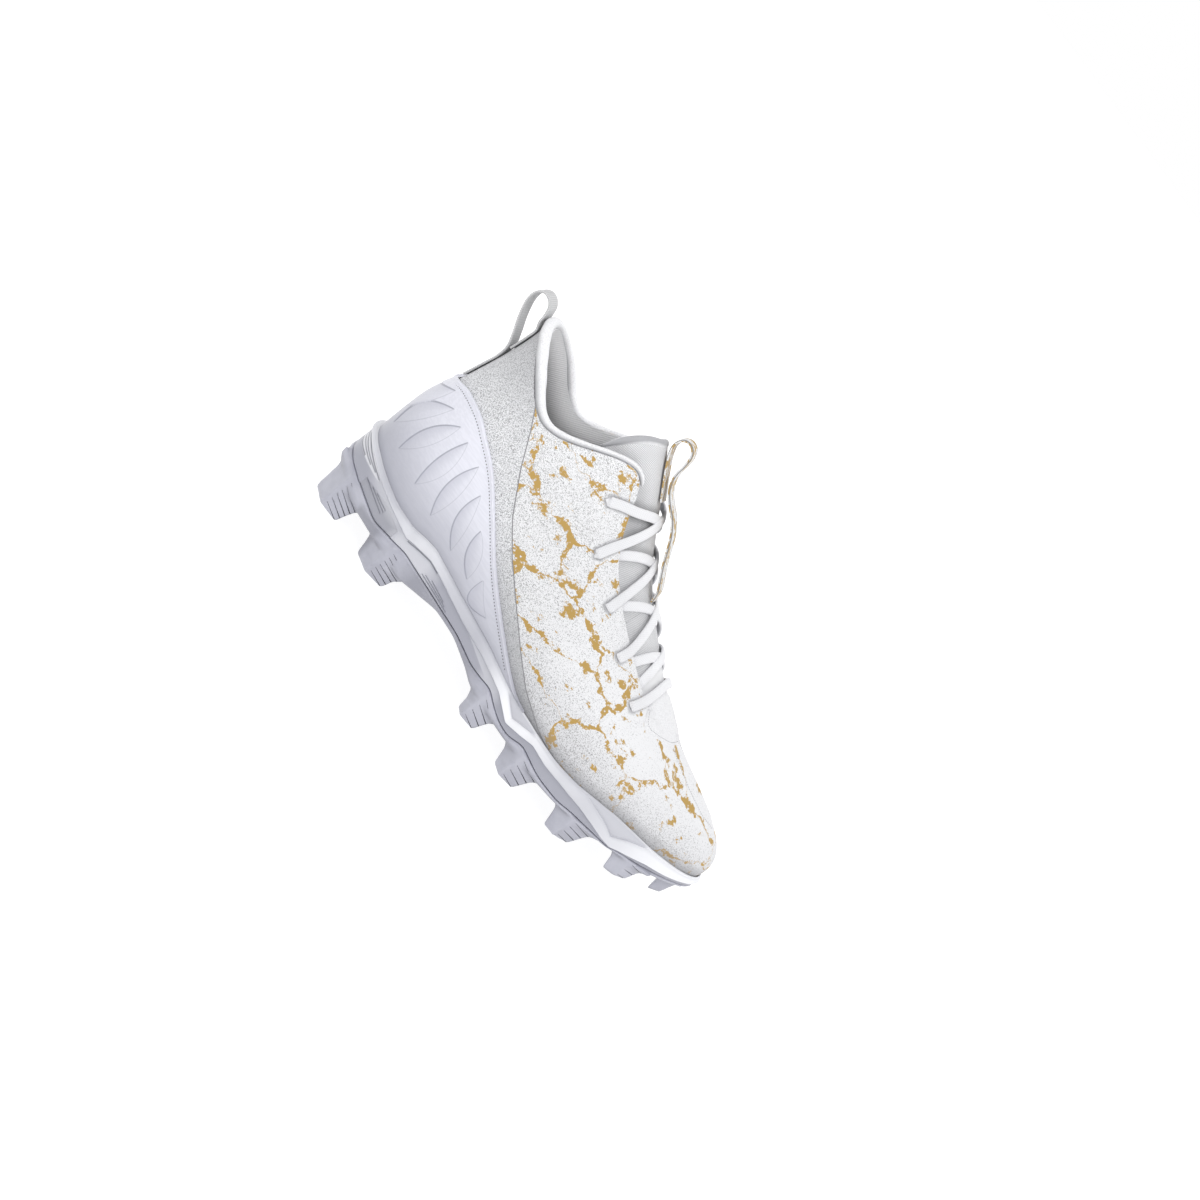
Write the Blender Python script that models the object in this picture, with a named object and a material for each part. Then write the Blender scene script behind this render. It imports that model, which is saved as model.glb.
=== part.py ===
# Right-foot football cleat with moulded studs, a mid-height collar and laces.
# X runs from heel to toe, the outer side of the foot is -Y and Z is up from the floor.
# Sizes are in millimetres on the last, and the meshes are written in metres.

from math import pi

import bmesh
import bpy
import numpy as np

MM = 0.001
WELD = 1e-6
SHARP_ANGLE = 0.6
LATERAL, MEDIAL = -1, 1

# Driving dimensions
LENGTH = 290.0
BALL_WIDTH = 92.0
COLLAR_HEIGHT = 146.0
WALL = 2.0
GAP = 0.35
RIM_GAP = 0.5

# The size at which the tables below are written
TABLE_LENGTH = 290.0
TABLE_BALL_WIDTH = 92.0
TABLE_COLLAR_HEIGHT = 146.0


def table(columns, rows):
    names = columns.split()
    return {name: np.array([row[i] for row in rows], float) for i, name in enumerate(names)}


# Ribs of the upper from the heel (0) to the toe (15). Each runs from its seat on the sole to the top
# edge: the collar, then the throat, then the spine of the vamp from THROAT_END on.
RIBS = table(
    "x y_lat y_med z top_x top_y_lat top_y_med top_z low_out low_rise high_out high_drop", [
        (3.5, 0, 0, 31.0, 12.5, 0, 0, 146.0, 10.5, 35, -5, 31),
        (8.5, -17, 17, 31.0, 15.5, -13, 13, 143.5, 10.5, 34, -3.5, 30),
        (22, -27, 26.5, 31.0, 23.4, -22, 22.5, 138.0, 9, 32, -1, 28),
        (42, -31, 30, 31.0, 35, -28.5, 29, 130.2, 8, 32, 3, 30),
        (65, -32, 30, 31.0, 55.6, -31, 32, 121.5, 6, 32, 3, 30),
        (90, -33, 28.5, 30.5, 79.5, -31, 33, 134.0, 6, 34, 4, 34),
        (115, -35.5, 28.5, 29.5, 100, -27.5, 31, 145.5, 5, 36, 6, 38),
        (140, -40, 32, 27.5, 112.5, -24, 30, 136.0, 4.5, 34, 8, 36),
        (165, -44.5, 38.5, 25.3, 126, -24.5, 31.5, 116.5, 4, 30, 10, 24),
        (190, -47, 43, 24.3, 147, -24, 31.5, 100.0, 3, 25, 12, 17),
        (215, -45.5, 45, 25.0, 172, -21.5, 29.5, 87.5, 3, 20, 13, 13),
        (240, -38, 42, 27.5, 197, -18, 26, 76.5, 3, 17, 13, 9),
        (252, -32, 38.5, 29.2, 216, -10.5, 18.5, 70.6, 3.5, 16, 14, 6),
        (265.5, -25.5, 34.5, 30.8, 222, 4, 4, 71.0, 4.5, 15.5, 16, 5.2),
        (279.5, -11.5, 24.5, 32.6, 246, 6.5, 6.5, 65.8, 8, 14, 14, 6),
        (286.8, 6.5, 6.5, 34.0, 258, 8, 8, 62.8, 13.5, 14, 16, 7.5),
    ])
THROAT_END = 13
TOE = 15
RIB_STEP = 3
UPPER_ROWS = (0, 0.12, 0.28, 0.46, 0.64, 0.82, 1)

# Heights round the side of the sole, at thirds of a rib: top of the rim, lower edge of the bright rim
# strip, parting line of midsole and outsole, and underside of the plate. They step over each stud. Then
# the depth of the ribs of the wall, and how far the sole flares out past the upper.
SIDE = table("third rim strip parting under rib_depth flare", [
    (0, 44.3, 41.0, 28.3, 23.5, 1.0, 1),
    (3, 43.6, 40.3, 27.2, 20.0, 1.0, 1),
    (5, 42.0, 38.6, 26.0, 16.5, 1.0, 1),
    (7, 38.9, 35.4, 23.5, 14.5, 1.0, 1),
    (9, 35.8, 31.8, 20.0, 14.0, 1.0, 1),
    (11, 35.4, 28.4, 22.6, 13.0, 0.4, 1),
    (12, 37.5, 28.6, 24.2, 12.5, 0, 1),
    (13, 38.9, 29.6, 23.8, 12.0, 0, 1),
    (16, 35.7, 29.0, 22.6, 19.6, 0.6, 1),
    (18, 34.2, 26.3, 22.2, 19.3, 0, 1),
    (20, 33.2, 25.4, 19.9, 15.6, 0, 1),
    (21, 32.0, 25.0, 20.5, 12.4, 0, 1),
    (22, 30.8, 24.4, 22.0, 12.2, 0, 1),
    (23, 29.8, 21.4, 18.4, 12.3, 0, 1),
    (24, 29.4, 19.4, 16.4, 12.5, 0, 1),
    (25, 29.4, 21.6, 16.2, 12.9, 0, 1),
    (26, 29.0, 24.0, 20.2, 13.2, 0, 1),
    (28, 28.9, 23.6, 17.2, 13.6, 0, 1),
    (30, 30.5, 26.4, 17.2, 15.0, 0, 1),
    (31, 32.3, 27.6, 19.5, 16.0, 0, 1),
    (33, 34.8, 26.6, 21.0, 18.2, 0, 1),
    (36, 35.4, 29.4, 23.2, 20.2, 0, 1),
    (39, 35.8, 30.6, 25.6, 22.4, 0, 0.95),
    (42, 36.2, 32.6, 29.4, 26.8, 0, 0.8),
    (45, 37.0, 34.8, 32.4, 31.0, 0, 0.6),
])
RIM_LIP = 1.0
STRIP_OUT = 4.0
STRIP_UNDERCUT = (2.8, 1.3)
WALL_OUT = 2.6
# Ribs of the heel wall: how far down each its valley and its crest lie, and how far they sink
WALL_RIBS = 2
RIB_WAVE = ((0.45, 1), (0.85, 0))
PLATE_TOP_OUT = 2.6
PLATE_SIDE_OUT = 3.2
PLATE_SIDE_SHARE = 0.6
PLATE_UNDER_OUT = 1.6

# Studs of one side, rear to front: foot corners along X, how far the foot's rear and front corners lie
# inside the edge, its depth across the sole, the height of its foot and the spread of its root
STUDS = table("x_rear x_ridge x_front rear_in front_in depth foot_rear foot_front spread_rear spread_front", [
    (6, 15.5, 28, 2.0, 4.0, 19, 0, 0, 2.0, 5.0),
    (48, 58.5, 70, 6.0, 4.5, 20, 0, 0, 5.0, 5.0),
    (143.5, 147.5, 157, 4.0, 3.0, 16, 0, 0, 3.5, 5.0),
    (177.5, 183.5, 193, 4.5, 3.5, 17, 0, 0, 5.5, 6.0),
    (217.5, 224.5, 232.5, 3.0, 3.0, 16, 2.0, 4.3, 5.0, 5.0),
    (253.2, 259.7, 265.2, 1.5, 2.0, 14, 9.6, 12.8, 4.0, 2.5),
])
RIDGE_OUT = 0.8
RIDGE_SPREAD = 1.4
CORNER_SPREAD = 0.3
INNER_SPREAD = 3.0
INNER_TAPER = 2.0
ROOT_SHARE = 0.8
TOE_STUD = dict(x_rear=277.0, x_front=282.5, half_width=9.0, y=6.5,
                foot_rear=12.0, foot_front=16.2, spread=2.2)
# Slits of a stud's front face: their levels, how far they fall, stop short of the ridge and pass the edge
SLIT_LEVELS = (0.24, 0.5, 0.76)
SLIT_HEIGHT = 1.2
SLIT_DEPTH = 0.9
SLIT_DROP = 0.14
SLIT_SHORT = 0.16
SLIT_PAST = 0.1

# Top edge of the heel counter, at thirds of a rib
COUNTER = table("third z", [
    (0, 91.0), (3, 95.8), (5, 98.6), (8, 98.6), (10, 94.4), (12, 87.0), (14, 75.0), (16, 62.0),
    (18, 51.7), (21, 39.4), (23, 32.2)])
COUNTER_GAP = 0.5
COUNTER_WALL = 1.3
COUNTER_ROWS = 6

# Half height and half width of the collar roll at thirds of a rib
ROLL = table("third half_height half_width", [
    (0, 2.9, 3.0), (6, 3.0, 3.1), (9, 2.6, 2.8), (12, 1.9, 2.3), (15, 1.5, 1.9), (20, 1.2, 1.6)])
ROLL_SIDES = 8

INSOLE_THICK = 4.0

# Rise of the tongue above the throat edge, by rib
TONGUE_CROWN = table("rib crown", [
    (7, 9.2), (7.5, 13.2), (8, 15.4), (8.5, 15.0), (9, 12.0), (9.5, 9.5), (10, 8.5), (11, 6.2),
    (12, 2.6), (13, -1.8), (13.34, -2.4)])
TONGUE_STEPS = 15
TONGUE_ACROSS = (-1.0, -0.8, -0.55, -0.28, 0.0, 0.28, 0.55, 0.8, 1.0)
TONGUE_WING = (0.9, 0.96)
TONGUE_FILL = 0.7
TONGUE_ROUND = 2.2
TONGUE_TOP = table("x y z half_width sag", [
    (105.8, 3.4, 152.0, 22.5, 9.0), (101.4, 2.6, 156.6, 24.5, 13.5), (98.6, 2.0, 159.4, 25.2, 17.0)])
TONGUE_TOP_WING = (1.06, 1.03)
# Fall of the top edge beside its middle, as a share of the sag and a power of the spread
TONGUE_FALL = {LATERAL: (1.25, 4), MEDIAL: (1.6, 2)}
TONGUE_Y = 4.0
TONGUE_THICK = 3.2

# Ribbon of the tongue, up its front, round the pull loop and then down over the laces
KEEPER = table("x z", [
    (119.7, 139.6), (114.6, 144.8), (108.6, 151.0), (103.0, 157.6), (100.4, 163.0), (101.2, 167.6),
    (104.2, 169.8), (108.0, 169.2), (110.8, 166.0), (112.2, 161.0), (112.9, 155.6), (114.6, 151.0),
    (117.4, 147.2), (121.0, 144.2), (125.2, 141.8), (129.8, 139.4), (134.0, 136.2), (137.8, 132.4),
    (141.2, 128.0), (144.6, 123.4), (148.2, 119.0), (151.8, 114.9), (155.2, 110.8)])
KEEPER_END_RIB = 9.28
KEEPER_STEPS = 40
KEEPER_WIDTH = 11.0
RIBBON_THICK = 1.5

# Webbing of the heel: up the heel above the counter, out round the pull loop and back down on the heel
HEEL_STRAP_FOOT = 96.5
HEEL_STRAP_SEWN = 117.0
HEEL_STRAP_FLAT = 127.0
HEEL_STRAP_END = 133.0
HEEL_SEWN_STEPS = 4
HEEL_STRAP_STEPS = 30
HEEL_LOOP = table("x z", [
    (9.0, 124.2), (5.4, 131.0), (0.5, 138.6), (-3.4, 147.0), (-3.7, 152.8), (-1.0, 156.3), (3.2, 156.4),
    (6.7, 153.8), (8.6, 149.4), (9.6, 145.2)])
HEEL_STRAP_WIDTH = 15.0
HEEL_STRAP_SAG = 0.4
HEEL_STRAP_GAP = 0.6

# Rows of lacing from the top: where the hole lies on the upper, the ribs at which the lace crosses the
# throat edge on top of the upper and under it, and how far the crossing below it bows toward the toe
LACING = table("rib share over under bow", [
    (6.30, 0.847, 7.30, 7.30, 0.42), (7.38, 0.775, 8.00, 8.25, 0.2), (8.80, 0.853, 9.03, 9.20, 0.06),
    (9.70, 0.835, 10.00, 10.25, 0), (10.50, 0.787, 11.00, 10.70, 0)])
EYELET_RADIUS = 2.3
EYELET_SIDES = 10
LACE_HALF = (2.5, 1.0)
LACE_CLEAR = 0.45
LACE_SIDES = 6
LACE_STEPS = 9
LACE_EDGE_STEPS = 4
LACE_LEAVE = 0.72
LACE_STOP = 0.74
LACE_LIFT = 2.6
LACE_CROSS_LIFT = {-1: 1.7, 1: 0.3}

# Colours as linear RGB, with roughness
FINISH = {
    "sole_shell": ((0.72, 0.72, 0.80), 0.40),
    "sole_rim": ((0.80, 0.80, 0.86), 0.38),
    "footbed": ((0.62, 0.62, 0.64), 0.85),
    "knit_print": ((0.74, 0.72, 0.69), 0.70),
    "counter_film": ((0.74, 0.74, 0.80), 0.40),
    "collar_knit": ((0.80, 0.80, 0.81), 0.75),
    "tongue_mesh": ((0.74, 0.74, 0.75), 0.80),
    "webbing": ((0.70, 0.69, 0.67), 0.70),
    "lace": ((0.84, 0.84, 0.84), 0.75),
}

for old in list(bpy.data.objects):
    bpy.data.objects.remove(old)

RIBS["x"] *= LENGTH / TABLE_LENGTH
RIBS["top_x"] *= LENGTH / TABLE_LENGTH
for column in ("y_lat", "y_med", "top_y_lat", "top_y_med"):
    RIBS[column] *= BALL_WIDTH / TABLE_BALL_WIDTH
RIBS["top_z"] *= COLLAR_HEIGHT / TABLE_COLLAR_HEIGHT

# Share of a rib over which slopes are measured
STEP = 0.01
HALVINGS = 30


# Smooth closed curve through values that run down the lateral side and back up the medial one
def closed_spline(lateral, medial):
    values = np.concatenate([lateral, medial[-2:0:-1]])
    count = len(values)
    unit = np.eye(count)
    matrix = 4 * unit + np.roll(unit, 1, 0) + np.roll(unit, -1, 0)
    bend = np.linalg.solve(matrix, 6 * (np.roll(values, 1) - 2 * values + np.roll(values, -1)))

    def at(place):
        first = np.floor(place).astype(int)
        part = place - first
        rest = 1 - part
        near, far = first % count, (first + 1) % count
        straight = values[near] * rest + values[far] * part
        return straight + ((rest ** 3 - rest) * bend[near] + (part ** 3 - part) * bend[far]) / 6

    return at


SEAT = [closed_spline(RIBS["x"], RIBS["x"]), closed_spline(RIBS["y_lat"], RIBS["y_med"]),
        closed_spline(RIBS["z"], RIBS["z"])]
OPEN = slice(0, THROAT_END + 1)
TOP = [closed_spline(RIBS["top_x"][OPEN], RIBS["top_x"][OPEN]),
       closed_spline(RIBS["top_y_lat"][OPEN], RIBS["top_y_med"][OPEN]),
       closed_spline(RIBS["top_z"][OPEN], RIBS["top_z"][OPEN])]
SPINE = [np.polyfit((THROAT_END, THROAT_END + 1, TOE), RIBS[name][THROAT_END:], 2)
         for name in ("top_x", "top_y_lat", "top_z")]
HANDLE = {name: closed_spline(RIBS[name], RIBS[name])
          for name in ("low_out", "low_rise", "high_out", "high_drop")}


def on_loop(rib, side, last):
    return np.where(side < 0, rib, 2 * last - rib)


def seat_line(rib, side):
    place = on_loop(rib, side, TOE)
    return np.stack([curve(place) for curve in SEAT], -1)


def outward(rib, side):
    place = on_loop(rib, side, TOE)
    run = [curve(place + STEP) - curve(place - STEP) for curve in SEAT[:2]]
    size = np.hypot(run[0], run[1])
    return np.stack([run[1] / size, -run[0] / size, np.zeros_like(size)], -1)


# The throat eases into its end and the spine out of it, so that the vamp runs on smoothly
def top_line(rib, side):
    slowing = np.clip(rib - (THROAT_END - 1), 0, 1)
    place = on_loop(rib + slowing ** 2 - slowing ** 3, side, THROAT_END)
    opening = np.stack([curve(place) for curve in TOP], -1)
    span = TOE - THROAT_END
    part = (rib - THROAT_END) / span
    eased = THROAT_END + span * part ** 2 * (3 - 2 * part)
    spine = np.stack([np.polyval(curve, eased) for curve in SPINE], -1)
    return np.where((rib <= THROAT_END)[..., None], opening, spine)


# Outer surface of the upper: a Bezier rib from the seat (share 0) to the top edge (share 1)
def upper_point(rib, side, share):
    rib, side, share = np.broadcast_arrays(np.asarray(rib, float), side, np.asarray(share, float))
    low, high, out = seat_line(rib, side), top_line(rib, side), outward(rib, side)
    place = on_loop(rib, side, TOE)
    handle = {name: curve(place)[..., None] for name, curve in HANDLE.items()}
    lean = (high - low) * np.array([1 / 3, 0, 0])
    up = np.array([0, 0, 1.0])
    low_end = low + lean + out * handle["low_out"] + up * handle["low_rise"]
    high_end = high - lean + out * handle["high_out"] - up * handle["high_drop"]
    share = share[..., None]
    rest = 1 - share
    lower = low * rest ** 3 + 3 * low_end * share * rest ** 2
    return lower + 3 * high_end * share ** 2 * rest + high * share ** 3


def upper_normal(rib, side, share):
    rib, side, share = np.broadcast_arrays(np.asarray(rib, float), side, np.asarray(share, float))
    share = np.clip(share, STEP, 1 - STEP)
    along = upper_point(rib + STEP, side, share) - upper_point(rib - STEP, side, share)
    rise = upper_point(rib, side, share + STEP) - upper_point(rib, side, share - STEP)
    normal = np.cross(along, rise) * -np.asarray(side, float)[..., None]
    return normal / np.linalg.norm(normal, axis=-1, keepdims=True)


# Share of the rib at which the upper's surface reaches a height
def share_at(rib, side, height):
    low = np.zeros_like(rib)
    high = np.ones_like(rib)
    for _ in range(HALVINGS):
        middle = (low + high) / 2
        below = upper_point(rib, side, middle)[..., 2] < height
        low, high = np.where(below, middle, low), np.where(below, high, middle)
    return (low + high) / 2


# Ribs and sides of the columns that ring the whole shoe, heel first, lateral side before medial
HALF = np.arange(TOE * RIB_STEP + 1)
RING_THIRD = np.concatenate([HALF, HALF[-2:0:-1]])
RING_RIB = RING_THIRD / RIB_STEP
RING_SIDE = np.concatenate([np.full(len(HALF), LATERAL), np.full(len(HALF) - 2, MEDIAL)])
RING = len(RING_RIB)


def side_height(name):
    return np.interp(RING_THIRD, SIDE["third"], SIDE[name])


def with_height(points, height):
    moved = points.copy()
    moved[..., 2] = height
    return moved


# Quads between neighbouring columns of a grid of points, joined end to end when closed
def grid_faces(columns, rows, closed):
    faces = []
    for c in range(columns if closed else columns - 1):
        n = (c + 1) % columns
        for r in range(rows - 1):
            faces.append((c * rows + r, n * rows + r, n * rows + r + 1, c * rows + r + 1))
    return faces


# Strips across the shoe from the lateral to the medial point of one row of a ring
def cap_faces(rows, row):
    faces = []
    for c in range(len(HALF) - 1):
        corners = [c, c + 1, (RING - c - 1) % RING, (RING - c) % RING]
        faces.append([corner * rows + row for corner in dict.fromkeys(corners)])
    return faces


def material(name):
    colour, roughness = FINISH[name]
    finish = bpy.data.materials.get(name) or bpy.data.materials.new(name)
    finish.use_nodes = True
    shader = finish.node_tree.nodes["Principled BSDF"]
    shader.inputs["Base Color"].default_value = (*colour, 1)
    shader.inputs["Roughness"].default_value = roughness
    shader.inputs["Metallic"].default_value = 0
    return finish


def add_object(name, points, faces, finish=None, shell=False):
    work = bmesh.new()
    corners = [work.verts.new(point * MM) for point in np.reshape(points, (-1, 3))]
    for face in faces:
        work.faces.new([corners[i] for i in face])
    bmesh.ops.remove_doubles(work, verts=work.verts, dist=WELD)
    bmesh.ops.dissolve_degenerate(work, edges=work.edges, dist=WELD)
    if not shell:
        bmesh.ops.recalc_face_normals(work, faces=work.faces)
    mesh = bpy.data.meshes.new(name)
    work.to_mesh(mesh)
    work.free()
    item = bpy.data.objects.new(name, mesh)
    bpy.context.scene.collection.objects.link(item)
    if finish:
        mesh.materials.append(material(finish))
        mesh.shade_smooth()
        mesh.set_sharp_from_angle(angle=SHARP_ANGLE)
    else:
        item.hide_render = True
        item.display_type = "WIRE"
    return item


def add_boolean(item, cutter, operation):
    change = item.modifiers.new(cutter.name, "BOOLEAN")
    change.operation = operation
    change.solver = "EXACT"
    change.object = cutter


def thicken(item, thickness):
    change = item.modifiers.new("wall", "SOLIDIFY")
    change.thickness = thickness * MM
    change.offset = -1
    change.use_even_offset = False


# Closed tube of elliptic section along a path, wide across the given up direction
def tube(path, up, half_width, half_height, sides):
    path, up = np.asarray(path), np.asarray(up)
    run = np.gradient(path, axis=0)
    run /= np.linalg.norm(run, axis=1, keepdims=True)
    wide = np.cross(run, up)
    wide /= np.linalg.norm(wide, axis=1, keepdims=True)
    rise = np.cross(wide, run)
    angle = 2 * pi * (np.arange(sides) + 0.5) / sides
    width = np.reshape(half_width, (-1, 1)) * np.cos(angle)
    height = np.reshape(half_height, (-1, 1)) * np.sin(angle)
    points = path[:, None] + wide[:, None] * width[..., None] + rise[:, None] * height[..., None]
    faces = []
    for c in range(len(path) - 1):
        for r in range(sides):
            n = (r + 1) % sides
            faces.append((c * sides + r, c * sides + n, (c + 1) * sides + n, (c + 1) * sides + r))
    faces.append(list(range(sides)))
    faces.append([(len(path) - 1) * sides + r for r in range(sides)])
    return points.reshape(-1, 3), faces


def smooth_path(points, count):
    points = np.asarray(points, float)
    padded = np.vstack([2 * points[0] - points[1], points, 2 * points[-1] - points[-2]])
    place = np.linspace(0, len(points) - 1, count)
    first = np.minimum(place.astype(int), len(points) - 2)
    part = (place - first)[:, None]
    a, b, c, d = (padded[first + i] for i in range(4))
    return 0.5 * (2 * b + (c - a) * part + (2 * a - 5 * b + 4 * c - d) * part ** 2
                  + (3 * b - a - 3 * c + d) * part ** 3)


# Ribbon across Y along a path in the XZ plane; sag bends its edges toward the given side of the path
def ribbon(path, width, centre, sag):
    run = np.gradient(path, axis=0)
    run /= np.linalg.norm(run, axis=1, keepdims=True)
    normal = np.stack([-run[:, 1], run[:, 0]], -1)
    across = np.array([-1, 0, 1])
    points = []
    for place, (point, away) in enumerate(zip(path, normal)):
        for layer in (-0.5, 0.5):
            bend = across ** 2 * sag[place]
            offset = layer * RIBBON_THICK + bend
            flat = point + away * offset[:, None]
            row = np.stack([flat[:, 0], centre + across * width / 2, flat[:, 1]], -1)
            points.extend(row if layer < 0 else row[::-1])
    sides = 2 * len(across)
    faces = []
    for c in range(len(path) - 1):
        for r in range(sides):
            n = (r + 1) % sides
            faces.append((c * sides + r, c * sides + n, (c + 1) * sides + n, (c + 1) * sides + r))
    last = (len(path) - 1) * sides
    for r in range(len(across) - 1):
        quad = (r, r + 1, sides - 2 - r, sides - 1 - r)
        faces.append(quad)
        faces.append([last + i for i in quad])
    return np.array(points), faces


def prism(low, high):
    count = len(low)
    faces = [list(range(count)), list(range(count, 2 * count))]
    for i in range(count):
        n = (i + 1) % count
        faces.append((i, n, count + n, count + i))
    return np.vstack([low, high]), faces


def join(pieces):
    points, faces, start = [], [], 0
    for piece_points, piece_faces in pieces:
        points.append(piece_points)
        faces.extend([[start + i for i in face] for face in piece_faces])
        start += len(piece_points)
    return np.vstack(points), faces


def make_upper():
    rows = len(UPPER_ROWS)
    outer = np.stack([upper_point(RING_RIB, RING_SIDE, share) for share in UPPER_ROWS], 1)
    away = np.stack([upper_normal(RING_RIB, RING_SIDE, share) for share in UPPER_ROWS], 1)
    away[:, 0] = outward(RING_RIB, RING_SIDE)
    across = (RING - np.arange(RING)) % RING
    spine = RING_RIB >= THROAT_END
    away[spine, -1] = (away[spine, -1] + away[across[spine], -1]) / 2
    inner = outer - away * WALL
    start = RING * rows
    faces = grid_faces(RING, rows, True)
    faces += [[start + i for i in face] for face in faces]
    for c in range(RING):
        n = (c + 1) % RING
        open_top = max(RING_RIB[c], RING_RIB[n]) <= THROAT_END
        for row in (0, rows - 1) if open_top else (0,):
            near, far = c * rows + row, n * rows + row
            faces.append((near, far, start + far, start + near))
    item = add_object("upper", np.concatenate([outer, inner]), faces, "knit_print")
    holes = []
    for side in (LATERAL, MEDIAL):
        for rib, share in zip(LACING["rib"], LACING["share"]):
            centre = upper_point(rib, side, share)
            away = upper_normal(rib, side, share)
            path = [centre - away * 2 * WALL, centre + away * WALL]
            across = np.cross(away, [1, 0, 0])
            holes.append(tube(path, [across, across], EYELET_RADIUS, EYELET_RADIUS, EYELET_SIDES))
    add_boolean(item, add_object("eyelet_cutters", *join(holes)), "DIFFERENCE")
    return item


# The rim's inner face follows the upper, RIM_GAP away, from the footbed up to the rim's top
def rim_points():
    top_share = share_at(RING_RIB, RING_SIDE, side_height("rim"))
    away = outward(RING_RIB, RING_SIDE)
    inner = [upper_point(RING_RIB, RING_SIDE, top_share * part) + away * RIM_GAP for part in (0, 0.5, 1)]
    inner[0] = with_height(inner[0], inner[0][:, 2] - GAP)
    return inner, away * side_height("flare")[:, None]


def make_midsole():
    inner, away = rim_points()
    edge = inner[2]
    strip, parting, depth = side_height("strip"), side_height("parting"), side_height("rib_depth")
    profile = list(inner)
    profile.append(edge + away * RIM_LIP)
    profile.append(with_height(edge + away * STRIP_OUT, strip))
    under_out, under_drop = STRIP_UNDERCUT
    wall_top = strip - under_drop
    profile.append(with_height(edge + away * under_out, wall_top))
    for groove in range(WALL_RIBS):
        for part, sink in RIB_WAVE:
            drop = (groove + part) / WALL_RIBS
            out = WALL_OUT - depth * sink
            height = wall_top + (parting - wall_top) * drop
            profile.append(with_height(edge + away * out[:, None], height))
    profile.append(with_height(edge + away * WALL_OUT, parting))
    points = np.stack(profile, 1)
    rows = len(profile)
    faces = grid_faces(RING, rows, True) + cap_faces(rows, 0) + cap_faces(rows, rows - 1)
    return add_object("midsole", points, faces, "sole_rim")


def sole_edge_y(x, side, ring):
    half = np.where(RING_SIDE == side)[0] if side == MEDIAL else np.arange(len(HALF))
    order = half[np.argsort(ring[half, 0])]
    return float(np.interp(x, ring[order, 0], ring[order, 1]))


# Blade stud: five corners with an outer ridge, narrowing from the root to the foot
def stud_corners(row, side, ring):
    def edge(x):
        return side * abs(sole_edge_y(x, side, ring))

    x_rear, x_ridge, x_front = row["x_rear"], row["x_ridge"], row["x_front"]
    inner = edge(x_ridge) - side * row["depth"]
    foot = np.array([
        (x_rear, edge(x_rear) - side * row["rear_in"], row["foot_rear"]),
        (x_ridge, edge(x_ridge) + side * RIDGE_OUT, row["foot_rear"]),
        (x_front, edge(x_front) - side * row["front_in"], row["foot_front"]),
        (x_front - INNER_TAPER, inner, row["foot_front"]),
        (x_rear + INNER_TAPER, inner, row["foot_rear"]),
    ])
    foot[:, 2] = np.interp(foot[:, 0], (x_rear, x_front), (row["foot_rear"], row["foot_front"]))
    root = foot.copy()
    rear, front = row["spread_rear"], row["spread_front"]
    root[:, 0] += np.array([-rear, 0, front, front, -rear])
    root[:, 1] += side * np.array([CORNER_SPREAD, RIDGE_SPREAD, CORNER_SPREAD, -INNER_SPREAD, -INNER_SPREAD])
    root[:, 2] = root_height(root[:, 0], ring)
    return foot, root


# Studs root inside the plate, a share of the way up from its underside
def root_height(x, ring):
    third = np.interp(x, ring[:len(HALF), 0], HALF)
    under = np.interp(third, SIDE["third"], SIDE["under"])
    parting = np.interp(third, SIDE["third"], SIDE["parting"])
    return under + (parting - under) * ROOT_SHARE


# Slits across the front face of a stud, falling from its ridge to its front edge
def stud_slits(foot, root):
    ridge_low, ridge_high, front_low, front_high = foot[1], root[1], foot[2], root[2]
    away = np.cross(front_low - ridge_low, ridge_high - ridge_low)
    away /= np.linalg.norm(away)
    pieces = []
    for level in SLIT_LEVELS:
        start = ridge_low + (ridge_high - ridge_low) * (level + SLIT_DROP / 2)
        end = front_low + (front_high - front_low) * (level - SLIT_DROP / 2)
        run = end - start
        start, end = start + run * SLIT_SHORT, end + run * SLIT_PAST
        rise = np.cross(away, run)
        rise *= SLIT_HEIGHT / 2 / np.linalg.norm(rise)
        low = np.array([start + rise, end + rise, end - rise, start - rise]) + away * SLIT_DEPTH
        pieces.append(prism(low, low - 2 * away * SLIT_DEPTH))
    return pieces


def make_outsole():
    inner, away = rim_points()
    edge = inner[2]
    parting, under = side_height("parting") - GAP, side_height("under")
    profile = [
        with_height(edge + away * PLATE_TOP_OUT, parting),
        with_height(edge + away * PLATE_SIDE_OUT, under + (parting - under) * PLATE_SIDE_SHARE),
        with_height(edge + away * PLATE_UNDER_OUT, under),
    ]
    points = np.stack(profile, 1)
    rows = len(profile)
    faces = grid_faces(RING, rows, True) + cap_faces(rows, 0) + cap_faces(rows, rows - 1)
    item = add_object("outsole", points, faces, "sole_shell")
    studs, slits = [], []
    for side in (LATERAL, MEDIAL):
        for i in range(len(STUDS["x_rear"])):
            row = {name: column[i] for name, column in STUDS.items()}
            foot, root = stud_corners(row, side, profile[2])
            studs.append(prism(foot, root))
            slits.extend(stud_slits(foot, root))
    studs.append(toe_stud(profile[2]))
    add_boolean(item, add_object("stud_blanks", *join(studs)), "UNION")
    add_boolean(item, add_object("slit_cutters", *join(slits)), "DIFFERENCE")
    return item


# Stud across the toe, with four corners
def toe_stud(ring):
    size = TOE_STUD
    foot, root = [], []
    for x, z, way in ((size["x_rear"], size["foot_rear"], -1), (size["x_front"], size["foot_front"], 1)):
        root_x = x + way * size["spread"]
        for across in (way, -way):
            half = size["half_width"]
            foot.append((x, size["y"] + across * half, z))
            root.append((root_x, size["y"] + across * (half + size["spread"]), root_height(root_x, ring)))
    return prism(np.array(foot), np.array(root))


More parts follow.
